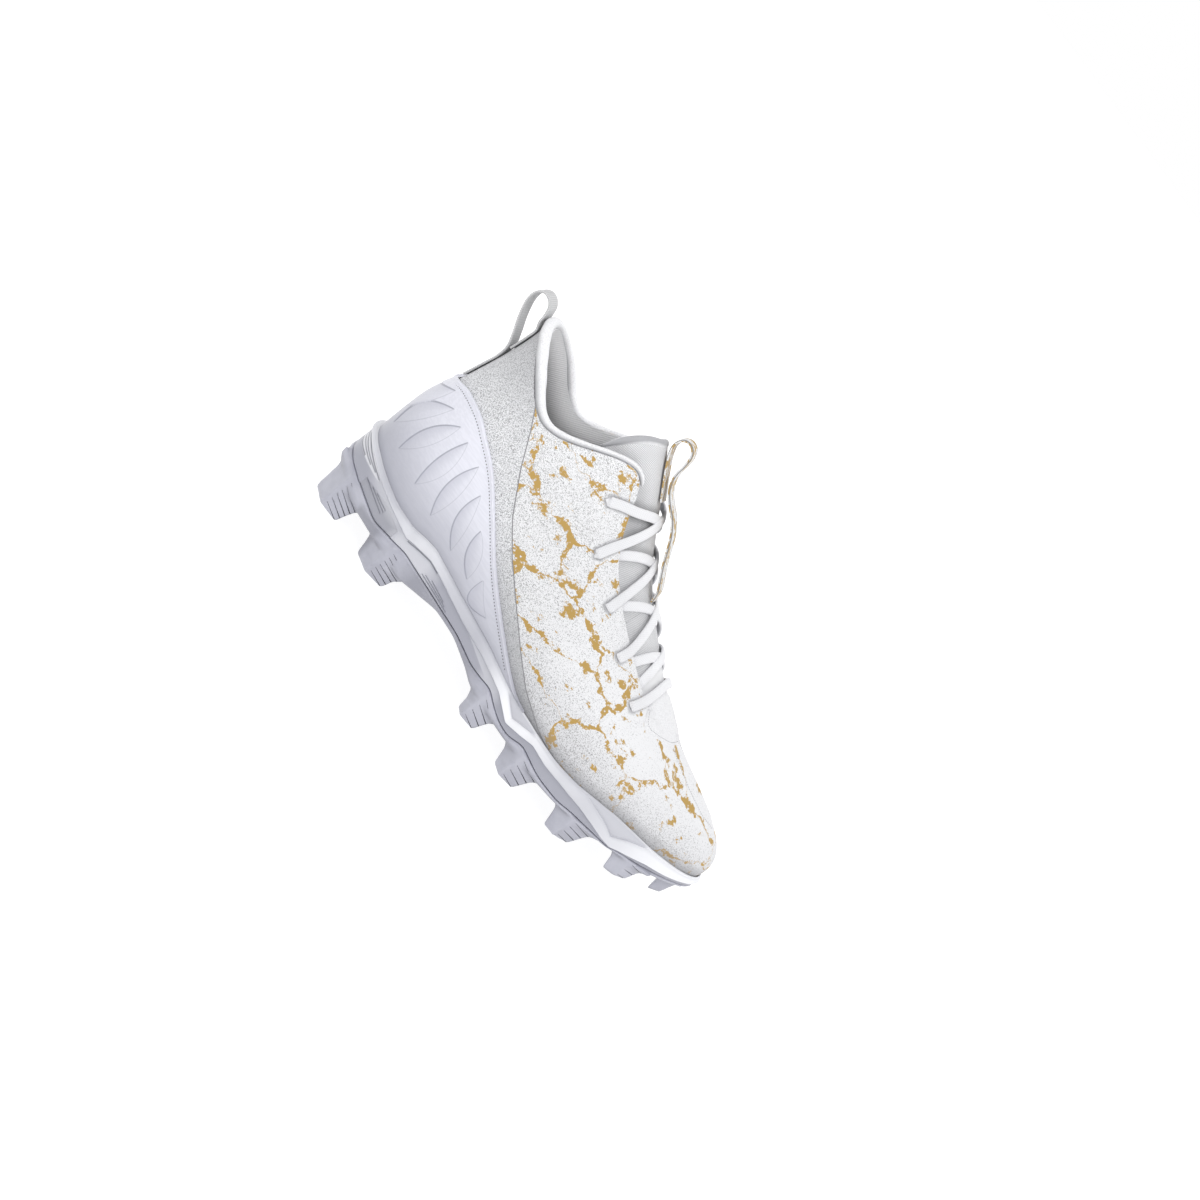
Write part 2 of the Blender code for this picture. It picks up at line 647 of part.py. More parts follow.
def make_insole():
    share = share_at(RING_RIB, RING_SIDE, seat_line(RING_RIB, RING_SIDE)[:, 2] + INSOLE_THICK)
    away = outward(RING_RIB, RING_SIDE)
    low = upper_point(RING_RIB, RING_SIDE, 0) - away * (WALL + 2 * GAP)
    high = upper_point(RING_RIB, RING_SIDE, share) - away * (WALL + 2 * GAP)
    points = np.stack([low, high], 1)
    faces = grid_faces(RING, 2, True) + cap_faces(2, 0) + cap_faces(2, 1)
    return add_object("insole", points, faces, "footbed")


def make_counter():
    reach = int(COUNTER["third"][-1])
    third = np.concatenate([np.arange(reach, -1, -1), np.arange(1, reach + 1)])
    side = np.concatenate([np.full(reach + 1, LATERAL), np.full(reach, MEDIAL)])
    rib = third / RIB_STEP
    low = share_at(rib, side, np.interp(third, SIDE["third"], SIDE["rim"]) + GAP)
    high = share_at(rib, side, np.interp(third, COUNTER["third"], COUNTER["z"]))
    rows = []
    for part in np.linspace(0, 1, COUNTER_ROWS):
        share = low + (high - low) * part
        lift = upper_normal(rib, side, share) * (COUNTER_GAP + COUNTER_WALL)
        rows.append(upper_point(rib, side, share) + lift)
    points = np.stack(rows, 1)
    faces = [face[::-1] for face in grid_faces(len(third), COUNTER_ROWS, False)]
    item = add_object("heel_counter", points, faces, "counter_film", shell=True)
    thicken(item, COUNTER_WALL)
    return item


def make_collar_roll():
    reach = int(ROLL["third"][-1])
    third = np.concatenate([np.arange(reach, -1, -1), np.arange(1, reach + 1)])
    side = np.concatenate([np.full(reach + 1, LATERAL), np.full(reach, MEDIAL)])
    rib = third / RIB_STEP
    half_height = np.interp(third, ROLL["third"], ROLL["half_height"])
    half_width = np.interp(third, ROLL["third"], ROLL["half_width"])
    edge = upper_point(rib, side, 1)
    away = upper_normal(rib, side, 1)
    along = np.gradient(edge, axis=0)
    up = np.cross(away, along)
    up /= np.linalg.norm(up, axis=1, keepdims=True)
    up *= np.sign(up[:, 2:])
    path = edge - away * WALL / 2 + up * (half_height + GAP)[:, None]
    return add_object("collar_roll", *tube(path, up, half_width, half_height, ROLL_SIDES), "collar_knit")


# Outer face of the tongue between the throat edges: across runs from -1 (lateral) to 1 (medial)
def tongue_point(rib, across):
    inset = WALL + 2 * GAP
    edges = []
    for side in (LATERAL, MEDIAL):
        edges.append(upper_point(rib, side, 1) - upper_normal(rib, side, 1) * inset)
    crown = np.interp(rib, TONGUE_CROWN["rib"], TONGUE_CROWN["crown"])
    part = (across + 1) / 2
    level = edges[0] * (1 - part) + edges[1] * part
    rise = (crown + inset * TONGUE_FILL) * (1 - abs(across) ** TONGUE_ROUND)
    return level + np.array([0, 0, 1.0]) * rise


def make_tongue():
    inset = WALL + 2 * GAP
    rows = []
    for rib in np.linspace(TONGUE_CROWN["rib"][-1], TONGUE_CROWN["rib"][0], TONGUE_STEPS):
        row = []
        for side, shares in ((LATERAL, TONGUE_WING), (MEDIAL, TONGUE_WING[::-1])):
            wing = [upper_point(rib, side, s) - upper_normal(rib, side, s) * inset for s in shares]
            row.extend(wing)
            if side == LATERAL:
                row.extend(tongue_point(rib, across) for across in TONGUE_ACROSS)
        rows.append(row)
    wings = np.array(TONGUE_TOP_WING)
    spread = np.concatenate([-wings, TONGUE_ACROSS, wings[::-1]])
    fall = np.zeros_like(spread)
    for side, (share, power) in TONGUE_FALL.items():
        fall = np.where(spread * side > 0, share * np.abs(spread) ** power, fall)
    for x, y, z, half, sag in zip(*TONGUE_TOP.values()):
        rows.append(np.stack([x - spread ** 2 * sag, y + spread * half, z - fall * sag], -1))
    points = np.array(rows, float)
    faces = [face[::-1] for face in grid_faces(len(rows), points.shape[1], False)]
    item = add_object("tongue", points, faces, "tongue_mesh", shell=True)
    thicken(item, TONGUE_THICK)
    return item


def make_keeper():
    end = tongue_point(KEEPER_END_RIB, 0)[[0, 2]] + (GAP + RIBBON_THICK / 2)
    path = smooth_path(np.vstack([np.stack([KEEPER["x"], KEEPER["z"]], -1), end]), KEEPER_STEPS)
    return add_object("tongue_strap", *ribbon(path, KEEPER_WIDTH, TONGUE_Y, np.zeros(len(path))), "webbing")


def make_heel_strap():
    height = np.linspace(HEEL_STRAP_FOOT, HEEL_STRAP_SEWN, HEEL_SEWN_STEPS)
    rib = np.zeros_like(height)
    on_heel = upper_point(rib, LATERAL, share_at(rib, LATERAL, height))
    sewn = np.stack([on_heel[:, 0] - HEEL_STRAP_GAP - RIBBON_THICK / 2, height], -1)
    loop = np.stack([HEEL_LOOP["x"], HEEL_LOOP["z"]], -1)
    back = np.linspace(HEEL_LOOP["z"][-1], HEEL_STRAP_END, HEEL_SEWN_STEPS)[1:]
    behind = upper_point(np.zeros_like(back), LATERAL, share_at(np.zeros_like(back), LATERAL, back))
    returned = np.stack([behind[:, 0] - HEEL_STRAP_GAP - RIBBON_THICK / 2, back], -1)
    path = smooth_path(np.vstack([sewn, loop, returned]), HEEL_STRAP_STEPS)
    place = np.arange(len(path))
    sag = np.where(place < len(path) / 2,
                   np.interp(path[:, 1], (HEEL_STRAP_SEWN, HEEL_STRAP_FLAT), (-HEEL_STRAP_SAG, 0)), 0)
    return add_object("heel_strap", *ribbon(path, HEEL_STRAP_WIDTH, 0, sag), "webbing")


# Middle of a lace over the tongue, from one throat edge row to the next
def lace_over_tongue(rib_from, rib_to, side, ends, lifts, bow):
    path = []
    for part in np.linspace(ends[0], ends[1], LACE_STEPS):
        lift = np.interp(part, (ends[0], 0, ends[1]), lifts)
        rib = rib_from + (rib_to - rib_from) * (part + 1) / 2 + bow * (1 - part ** 2)
        point = tongue_point(rib, side * -part)
        ahead = tongue_point(rib - STEP, side * -part) - tongue_point(rib + STEP, side * -part)
        sideways = tongue_point(rib, side * -part + STEP) - tongue_point(rib, side * -part - STEP)
        away = np.cross(sideways, ahead)
        away /= np.linalg.norm(away)
        path.append((point + away * (LACE_CLEAR + LACE_HALF[1] + lift), away))
    return path


# Middle of a lace on the outside of the upper, from its hole to the throat edge
def lace_on_upper(row, side):
    path = []
    for part in np.linspace(0, 1, LACE_EDGE_STEPS):
        rib = LACING["rib"][row] * (1 - part) + LACING["over"][row] * part
        share = LACING["share"][row] * (1 - part) + part
        away = upper_normal(rib, side, share)
        path.append((upper_point(rib, side, share) + away * (LACE_CLEAR + LACE_HALF[1]), away))
    return path


def lace_tube(path):
    middle = np.array([point for point, _ in path])
    up = np.array([away for _, away in path])
    return tube(middle, up, *LACE_HALF, LACE_SIDES)


def make_laces():
    last = len(LACING["rib"]) - 1
    for row in range(last):
        leaves_over, lands_over = row + 1 < last, row == 0
        leave = LACING["over" if leaves_over else "under"][row + 1]
        land = LACING["over" if lands_over else "under"][row]
        bars = []
        for side in (LATERAL, MEDIAL):
            ends = (-LACE_LEAVE if leaves_over else -LACE_STOP, LACE_LEAVE if lands_over else LACE_STOP)
            lifts = (LACE_LIFT * leaves_over, LACE_CROSS_LIFT[side], LACE_LIFT * lands_over)
            path = lace_over_tongue(leave, land, side, ends, lifts, LACING["bow"][row])
            if leaves_over:
                path = lace_on_upper(row + 1, side) + path
            if lands_over:
                path = path + lace_on_upper(row, -side)[::-1]
            bars.append(lace_tube(path))
        item = add_object(f"lace_crossing_{row + 1}", *bars[0], "lace")
        add_boolean(item, add_object(f"lace_under_{row + 1}", *bars[1]), "UNION")
    rib = LACING["over"][last]
    ends, lifts = (-LACE_LEAVE, LACE_LEAVE), (LACE_LIFT, LACE_CROSS_LIFT[MEDIAL], LACE_LIFT)
    over = lace_over_tongue(rib, rib, LATERAL, ends, lifts, LACING["bow"][last])
    path = lace_on_upper(last, LATERAL) + over + lace_on_upper(last, MEDIAL)[::-1]
    add_object("lace_bar", *lace_tube(path), "lace")


# The origin goes under the middle of the whole shoe, on the floor
def centre_on_floor():
    bpy.context.view_layer.update()
    graph = bpy.context.evaluated_depsgraph_get()
    shown = [item for item in bpy.data.objects if not item.hide_render]
    corners = np.array([corner[:] for item in shown for corner in item.evaluated_get(graph).bound_box])
    low, high = corners.min(0), corners.max(0)
    for item in bpy.data.objects:
        item.location = (-(low[0] + high[0]) / 2, -(low[1] + high[1]) / 2, 0)


make_outsole()
make_midsole()
make_insole()
make_upper()
make_counter()
make_collar_roll()
make_tongue()
make_keeper()
make_heel_strap()
make_laces()
centre_on_floor()
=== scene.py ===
from math import pi, radians

import bmesh
import bpy
import numpy as np
from mathutils import Matrix, Vector
from mathutils.bvhtree import BVHTree
from mathutils.kdtree import KDTree


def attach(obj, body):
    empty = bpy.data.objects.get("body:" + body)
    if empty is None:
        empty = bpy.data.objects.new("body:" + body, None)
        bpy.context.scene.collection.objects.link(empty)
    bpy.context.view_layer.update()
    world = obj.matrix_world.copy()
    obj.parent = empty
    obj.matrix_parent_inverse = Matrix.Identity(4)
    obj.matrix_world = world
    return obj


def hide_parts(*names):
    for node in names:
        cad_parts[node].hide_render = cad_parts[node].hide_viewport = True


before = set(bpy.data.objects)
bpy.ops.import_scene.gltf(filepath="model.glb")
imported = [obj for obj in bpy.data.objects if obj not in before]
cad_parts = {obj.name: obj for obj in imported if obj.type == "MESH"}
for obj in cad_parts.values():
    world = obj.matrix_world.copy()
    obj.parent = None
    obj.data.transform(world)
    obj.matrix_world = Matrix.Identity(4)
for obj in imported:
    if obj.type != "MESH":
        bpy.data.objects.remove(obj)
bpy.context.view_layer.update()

# The shoe is worked out in millimetres on its last: x from heel to toe, y to the inner side, z up
lastFrame = {"toOrigin": np.array([-142.85056293, 0.95579401, 0.0]), "unit": 0.001}
lateral, medial = -1, 1


def placed(points):
    return (np.asarray(points, float) + lastFrame["toOrigin"]) * lastFrame["unit"]


def unplaced(points):
    return points / lastFrame["unit"] - lastFrame["toOrigin"]


def linkObject(name, data):
    made = bpy.data.objects.new(name, data)
    bpy.context.scene.collection.objects.link(made)
    return made


photoCamera = {
    "azimuth": 2.0, "elevation": 17.0, "roll": 53.6, "distance": 1.3,
    "aim": (141.2, 6.418, 80.842), "lens": 75.08, "sensor": 36.0, "clip": 30}


def makeCamera():
    size = photoCamera
    a, e, r = (radians(size[name]) for name in ("azimuth", "elevation", "roll"))
    turn = Matrix.Rotation(a, 4, "Z") @ Matrix.Rotation(pi / 2 - e, 4, "X") @ Matrix.Rotation(r, 4, "Z")
    data = bpy.data.cameras.new("photoCamera")
    data.sensor_width, data.lens, data.clip_end = size["sensor"], size["lens"], size["clip"]
    camera = linkObject("photoCamera", data)
    aim, back = Matrix.Translation(placed(size["aim"])), Matrix.Translation((0, 0, size["distance"]))
    camera.matrix_world = aim @ turn @ back
    bpy.context.scene.camera = camera


makeCamera()
print("camera set")


# Short ways to build the shader trees
def isSocket(value):
    return isinstance(value, bpy.types.NodeSocket)


# A node joins the tree of the sockets that it is given
def addNode(kind, inputs={}, tree=None, **settings):
    tree = tree or next(value.id_data for value in inputs.values() if isSocket(value))
    made = tree.nodes.new(kind)
    for name, value in settings.items():
        setattr(made, name, value)
    for name, value in inputs.items():
        if isSocket(value):
            tree.links.new(value, made.inputs[name])
        else:
            made.inputs[name].default_value = value
    return made


def newFinish(name, surface):
    finish = bpy.data.materials.new(name)
    finish.use_nodes = True
    shader = finish.node_tree.nodes["Principled BSDF"]
    for socket, value in surface.items():
        shader.inputs[socket].default_value = value
    return finish, finish.node_tree, shader


def mapped(coords, stretch=(1, 1, 1), turn=(0, 0, 0)):
    turn = [radians(angle) for angle in turn]
    return addNode("ShaderNodeMapping", {"Vector": coords, "Scale": stretch, "Rotation": turn}).outputs[0]


def objectCoords(tree, stretch=(1, 1, 1), turn=(0, 0, 0)):
    return mapped(addNode("ShaderNodeTexCoord", tree=tree).outputs["Object"], stretch, turn)


def uvOf(tree, name):
    return addNode("ShaderNodeUVMap", tree=tree, uv_map=name).outputs[0]


def splitOf(coords):
    return addNode("ShaderNodeSeparateXYZ", {"Vector": coords}).outputs


def noiseOf(coords, scale, detail=2.0, roughness=0.5, output=0):
    return addNode("ShaderNodeTexNoise", {"Vector": coords, "Scale": scale, "Detail": detail,
                                          "Roughness": roughness}).outputs[output]


def waveOf(coords, scale, distortion, direction="X", detail=2.0):
    return addNode("ShaderNodeTexWave", {"Vector": coords, "Scale": scale, "Distortion": distortion,
                                         "Detail": detail}, bands_direction=direction).outputs[1]


# Two sets of fine waves, turned one way and the other
def hatchOf(uv, angle, scale, distortion):
    return [waveOf(mapped(uv, turn=(0, 0, way)), scale, distortion) for way in (angle, -angle)]


def calc(operation, a, b=0.0):
    return addNode("ShaderNodeMath", {0: a, 1: b}, operation=operation).outputs[0]


def times(value, *others):
    for other in others:
        value = calc("MULTIPLY", value, other)
    return value


# Its settings are the value's range, and then the result's where that isn't 0 to 1
def ramp(value, low, high, start=0.0, end=1.0):
    return addNode("ShaderNodeMapRange", {"Value": value, "From Min": low, "From Max": high, "To Min": start,
                                          "To Max": end}, interpolation_type="SMOOTHSTEP").outputs[0]


def blend(factor, a, b):
    a, b = (value if isSocket(value) else (*value, 1) for value in (a, b))
    return addNode("ShaderNodeMix", {0: factor, 6: a, 7: b}, data_type="RGBA").outputs[2]


def attributeOf(tree, name):
    return addNode("ShaderNodeAttribute", tree=tree, attribute_name=name).outputs["Fac"]


# A pattern gives the colour and the height of its finish
def makeFinish(name, look, pattern):
    finish, tree, shader = newFinish(name, look["surface"])
    colour, height = pattern(tree, look)
    strength, distance = look["bump"]
    bump = addNode("ShaderNodeBump", {"Height": height, "Strength": strength, "Distance": distance})
    for socket, value in (("Normal", bump.outputs[0]), ("Base Color", colour)):
        tree.links.new(value, shader.inputs[socket])
    return finish


printCloth = {
    "white": (0.80, 0.803, 0.82), "speck": (0.19, 0.187, 0.19), "gold": (0.47, 0.30, 0.085),
    # low and rim are colours of painted shade, and quarterDark also serves as one
    "quarterLight": (0.80, 0.805, 0.825), "quarterDark": (0.29, 0.292, 0.305), "seam": (0.24, 0.24, 0.25),
    "low": (0.50, 0.50, 0.525), "rim": (0.20, 0.20, 0.215),
    "wander": 0.09, "lowSpecks": (0.075, 0.03, 0.0, 0.055), "rearSpecks": (0.05, -0.07, 0.0, 0.06),
    "cleanToe": (0.03, 0.08), "cleanHigh": (0.04, 0.06, 0.0, 0.05), "paintedShadeLow": (0.062, 0.03, 0.0, 0.5),
    "dashGrain": (1150, 2300, 2500), "dashTurn": (0, 18, 0), "dashes": (0.67, 0.71, 0.0, 0.72),
    "crumbGrain": 2400, "crumbs": (0.69, 0.74, 0.0, 0.72),
    "veinBend": 0.016, "veinGrain": (17, 30, 36), "veinTurn": (0, 28, 0),
    "veinSwell": (0.42, 0.70, 0.004, 0.065), "veinEdge": (-0.002, 0.004),
    "flakeGrain": (70, 100, 115), "flakeTurn": (0, 20, 0), "flakes": (0.592, 0.605), "rubbed": (0.36, 0.44),
    "glitter": (0.38, 0.56), "quarterPaintedShadeLow": (0.080, 0.035, 0.0, 0.6), "quarterPaintedShadeHigh": (0.098, 0.135, 0.0, 0.4),
    "seamStep": (-0.1, 0.1), "seamLine": (0.42, 0.15), "seamDepth": 1.5,
    "rimGap": (9.0, 0.0, 0.0, 0.55), "laceGap": (2.2, 0.5, 0.0, 0.5), "knitGrain": (1500, 1500, 900),
    "surface": {"Roughness": 0.62, "Sheen Weight": 0.12, "Specular IOR Level": 0.35}, "bump": (0.35, 0.0004)}


# Printed knit of the upper: specks and gold veins in front of the quarter seam, plain glitter behind it, with
# painted shade laid over both
def printClothPattern(tree, look):
    coords = objectCoords(tree)
    place = splitOf(coords)
    # specks, thicker low down and toward the heel
    level = times(noiseOf(coords, 55, 3), look["wander"])
    for axis, name in (("Z", "lowSpecks"), ("X", "rearSpecks")):
        level = calc("ADD", level, ramp(place[axis], *look[name]))
    clean = times(ramp(place["X"], *look["cleanToe"]), ramp(place["Z"], *look["cleanHigh"]))
    level = calc("SUBTRACT", level, clean)
    grains = {"dashes": noiseOf(objectCoords(tree, look["dashGrain"], look["dashTurn"]), 1.0, 1.5, 0.6),
              "crumbs": noiseOf(coords, look["crumbGrain"], 1.0)}
    masks = [ramp(calc("ADD", grain, level), *look[name]) for name, grain in grains.items()]
    # painted shade: the cloth greys toward the sole
    cloth = blend(ramp(place["Z"], *look["paintedShadeLow"]), look["white"], look["low"])
    cloth = blend(calc("MAXIMUM", *masks), cloth, look["speck"])
    # gold in the cracks of a crackle, with ragged flakes beside them
    bend = {0: noiseOf(coords, 60, 6, 0.65, "Color"), 1: (0.5, 0.5, 0.5)}
    offset = {0: addNode("ShaderNodeVectorMath", bend, operation="SUBTRACT").outputs[0],
              "Scale": look["veinBend"]}
    moved = {0: coords, 1: addNode("ShaderNodeVectorMath", offset, operation="SCALE").outputs[0]}
    bent = addNode("ShaderNodeVectorMath", moved).outputs[0]
    stretched = mapped(bent, look["veinGrain"], look["veinTurn"])
    veins = addNode("ShaderNodeTexVoronoi", {"Vector": stretched, "Scale": 1.0},
                    feature="DISTANCE_TO_EDGE").outputs["Distance"]
    thick = ramp(noiseOf(coords, 75, 5, 0.65), *look["veinSwell"])
    veinMask = ramp(calc("SUBTRACT", thick, veins), *look["veinEdge"])
    flakes = noiseOf(objectCoords(tree, look["flakeGrain"], look["flakeTurn"]), 1.0, 10, 0.68)
    rub = ramp(noiseOf(coords, 420, 4, 0.7), *look["rubbed"])
    gold = times(calc("MAXIMUM", veinMask, ramp(flakes, *look["flakes"])), rub)
    front = blend(gold, cloth, look["gold"])
    # plain rear quarter, with its glitter
    glitter = ramp(noiseOf(coords, 1800, 3, 0.7), *look["glitter"])
    quarter = blend(glitter, look["quarterDark"], look["quarterLight"])
    # painted shade on the quarter, low down and up toward the collar
    for name in ("quarterPaintedShadeLow", "quarterPaintedShadeHigh"):
        quarter = blend(ramp(place["Z"], *look[name]), quarter, look["quarterDark"])
    gap = attributeOf(tree, "seamGap")
    panels = blend(ramp(gap, *look["seamStep"]), quarter, front)
    # painted shade beside the sole's rim and beside the laces
    for name in ("rimGap", "laceGap"):
        panels = blend(ramp(attributeOf(tree, name), *look[name]), panels, look["rim"])
    line = ramp(calc("ABSOLUTE", gap), *look["seamLine"])
    knit = noiseOf(objectCoords(tree, look["knitGrain"]), 1.0)
    relief = calc("SUBTRACT", knit, times(line, look["seamDepth"]))
    return blend(line, panels, look["seam"]), relief


liningCloth = {
    "light": (0.94, 0.94, 0.95), "dark": (0.78, 0.78, 0.80), "deep": (0.15, 0.15, 0.157),
    "ribTurn": (0, 38, 0), "ribScale": 0.314 / 0.0011, "ribShare": 0.6, "fuzzShare": 0.5,
    "collarGap": (2.0, 16.0, 0.0, 0.9),
    "surface": {"Roughness": 0.85, "Sheen Weight": 0.2}, "bump": (0.5, 0.0005)}


# Ribbed lining, with painted shade that deepens down into the shoe
def liningClothPattern(tree, look):
    ribs = waveOf(objectCoords(tree, turn=look["ribTurn"]), look["ribScale"], 0.6, "Z", 1)
    fuzz = noiseOf(objectCoords(tree), 900)
    tone = calc("ADD", times(ribs, look["ribShare"]), times(fuzz, look["fuzzShare"]))
    body = blend(tone, look["dark"], look["light"])
    # painted shade, deeper with distance from the collar's edge
    deep = ramp(attributeOf(tree, "collarGap"), *look["collarGap"])
    return blend(deep, body, look["deep"]), tone


counterFilm = {
    # high and low are the lit and shaded colours of painted light; leaf and line colour painted shade in the
    # leaves; rim colours painted shade by the sole
    "high": (0.76, 0.765, 0.84), "low": (0.50, 0.505, 0.57), "leafPaintedShade": (0.48, 0.485, 0.56),
    "line": (0.24, 0.245, 0.30), "rim": (0.25, 0.255, 0.30), "streak": (0.35, 0.36, 0.42),
    "streakGrain": (110, 900, 900), "streakTurn": (0, -36, 0), "streaks": (0.62, 0.40, 0.0, 0.10),
    "cloud": 0.012, "paintedLightForward": 0.35, "rise": (-0.005, 0.06),
    "rimPaintedShades": ((34.0, 0.0, 0.0, 0.36), (5.0, 0.0, 0.0, 0.34)), "within": (-0.1, 0.25),
    "across": (0.9, 0.0, 0.0, 0.55), "rearShadowLine": (1.0, 0.3, 0.0, 0.7), "edgeShadowLine": (0.6, 0.2, 0.0, 0.35),
    "surface": {"Roughness": 0.36, "Coat Weight": 0.15, "Coat Roughness": 0.3}, "bump": (0.10, 0.0003)}


# Satin film over the heel: a faint slanting knit shows through, the pressed leaves darken to their rear edge with
# painted shade, and painted shadow lines follow their edges
def counterFilmPattern(tree, look):
    coords = objectCoords(tree)
    place = splitOf(coords)
    streaks = noiseOf(objectCoords(tree, look["streakGrain"], look["streakTurn"]), 1.0)
    # painted light and shade: lighter up high and toward the front, darker low and at the heel
    height = calc("ADD", place["Z"], times(noiseOf(coords, 45, 3), look["cloud"]))
    height = calc("ADD", height, times(place["X"], look["paintedLightForward"]))
    body = blend(ramp(height, *look["rise"]), look["low"], look["high"])
    body = blend(ramp(streaks, *look["streaks"]), body, look["streak"])
    # painted shade toward the sole's rim
    for shade in look["rimPaintedShades"]:
        body = blend(ramp(attributeOf(tree, "rimGap"), *shade), body, look["rim"])
    # painted shade in the pressed leaves, darkest at their rear edge, and painted shadow lines along their edges
    within = attributeOf(tree, "leafWithin")
    inside = ramp(within, *look["within"])
    fade = ramp(attributeOf(tree, "leafAcross"), *look["across"])
    body = blend(times(inside, fade), body, look["leafPaintedShade"])
    rearShadowLine = ramp(attributeOf(tree, "leafBehind"), *look["rearShadowLine"])
    line = calc("MAXIMUM", rearShadowLine, ramp(within, *look["edgeShadowLine"]))
    return blend(times(inside, line), body, look["line"]), streaks


soleShell = {
    "light": (0.47, 0.475, 0.54), "dark": (0.41, 0.415, 0.48), "slit": (0.10, 0.10, 0.12),
    "under": (0.15, 0.152, 0.18), "scuff": (0.38, 0.38, 0.41), "mottle": (0.35, 0.65),
    "scuffHeight": (0.004, 0.0005), "scuffs": (0.45, 0.62, 0.0, 0.5), "underShade": 0.62,
    "surface": {"Roughness": 0.34, "Coat Weight": 0.2, "Coat Roughness": 0.25}, "bump": (0.14, 0.0002)}


# Moulded sole: satin, faintly mottled, rubbed a little duller on the stud feet, with painted shade under the plate
# and in the slits
def soleShellPattern(tree, look):
    coords = objectCoords(tree)
    mottle = ramp(noiseOf(coords, 60, 4, 0.6), *look["mottle"])
    body = blend(mottle, look["dark"], look["light"])
    scuff = times(ramp(splitOf(coords)["Z"], *look["scuffHeight"]),
                  ramp(noiseOf(coords, 700, 3, 0.7), *look["scuffs"]))
    body = blend(scuff, body, look["scuff"])
    # painted shade under the plate, along the waist and on the studs' front faces, and painted shade in the slits
    under = times(attributeOf(tree, "underShade"), look["underShade"])
    body = blend(under, body, look["under"])
    body = blend(attributeOf(tree, "slitShade"), body, look["slit"])
    return body, noiseOf(coords, 1300)


soleRim = {
    "strip": (0.86, 0.865, 0.90), "wall": (0.36, 0.365, 0.42), "facet": (0.32, 0.325, 0.38),
    # hollow and groove are colours of painted shade
    "hollow": (0.33, 0.335, 0.38), "groove": (0.16, 0.165, 0.20), "mottle": (0.3, 0.7, 0.0, 0.25),
    "grooveGap": (0.5, 0.2, 0.0, 0.65),
    "surface": {"Roughness": 0.33, "Coat Weight": 0.2, "Coat Roughness": 0.25}, "bump": (0.14, 0.0002)}


# Wall and bright strip of the sole, by the tints that the midsole's rows carry, with painted shade in the hollow
# and the grooves and painted highlights on the heel's ridges
def soleRimPattern(tree, look):
    coords = objectCoords(tree)
    mottle = ramp(noiseOf(coords, 55, 4, 0.6), *look["mottle"])
    body = blend(mottle, look["wall"], look["facet"])
    # painted shade in the hollow; the strip's tint also carries painted highlights on the heel's ridges
    for name, colour in (("wallShade", "hollow"), ("stripTint", "strip")):
        body = blend(attributeOf(tree, name), body, look[colour])
    # painted shade in the grooves
    groove = ramp(attributeOf(tree, "grooveGap"), *look["grooveGap"])
    body = blend(groove, body, look["groove"])
    return body, noiseOf(coords, 1300)


collarKnit = {
    # under is the colour of painted shade
    "light": (0.83, 0.832, 0.85), "dark": (0.72, 0.722, 0.74), "under": (0.30, 0.302, 0.32),
    "grain": (1400, 1400, 1400), "ribs": (0.35, 0.6),
    "surface": {"Roughness": 0.75, "Sheen Weight": 0.25}, "bump": (0.35, 0.0004)}


# Knit of the roll, the tongue's edge and the tab, with painted shade where rollShade is set
def collarKnitPattern(tree, look):
    ribs = noiseOf(objectCoords(tree, look["grain"]), 1.0)
    body = blend(ramp(ribs, *look["ribs"]), look["dark"], look["light"])
    return blend(attributeOf(tree, "rollShade"), body, look["under"]), ribs


tongueMesh = {
    "thread": (0.82, 0.825, 0.84), "hole": (0.50, 0.503, 0.52), "plain": (0.82, 0.823, 0.835),
    # side and crest are colours of painted shade
    "side": (0.34, 0.34, 0.355), "crest": (0.12, 0.12, 0.125), "slant": 38, "pitch": 400,
    "threads": (0.0, 0.28),
    # painted shade toward the sides: its width across the tongue, then the heights between which it shows
    "sides": (0.013, 0.027, 0.0, 0.55), "sideHeights": ((0.150, 0.142), (0.110, 0.126, 0.3, 1.0)),
    "crests": ((0.002, 0.005, 0.0, 0.6), (0.014, 0.010)),
    "crestHeights": ((0.152, 0.145), (0.112, 0.120)),
    "laceGap": (5.0, 0.5), "laceHeight": (0.108, 0.125, 0.12, 0.55),
    "surface": {"Roughness": 0.8, "Sheen Weight": 0.2}, "bump": (0.5, 0.0005)}


# Fine diagonal mesh on the tongue, smooth cloth at its foot, with painted shade by the throat's edges, along its
# crest and beside the laces
def tongueMeshPattern(tree, look):
    uv = uvOf(tree, "tongueUv")
    thread = ramp(times(*hatchOf(uv, look["slant"], look["pitch"], 0.3)), *look["threads"])
    smooth = attributeOf(tree, "smoothCloth")
    body = blend(thread, look["hole"], look["thread"])
    body = blend(smooth, body, look["plain"])
    across, height = splitOf(uv)["Y"], splitOf(objectCoords(tree))["Z"]
    # painted shade, dimmer toward the throat's edges below the collar
    bands = [ramp(height, *band) for band in look["sideHeights"]]
    dim = times(ramp(calc("ABSOLUTE", across), *look["sides"]), *bands)
    body = blend(dim, body, look["side"])
    # and painted shadow along its crest, where the ribbon lies over it, and beside the laces
    crest = times(*[ramp(across, *band) for band in look["crests"]],
                  *[ramp(height, *band) for band in look["crestHeights"]])
    beside = times(ramp(attributeOf(tree, "laceGap"), *look["laceGap"]),
                   ramp(height, *look["laceHeight"]))
    body = blend(calc("MAXIMUM", crest, beside), body, look["crest"])
    return body, times(thread, calc("SUBTRACT", 1.0, smooth))


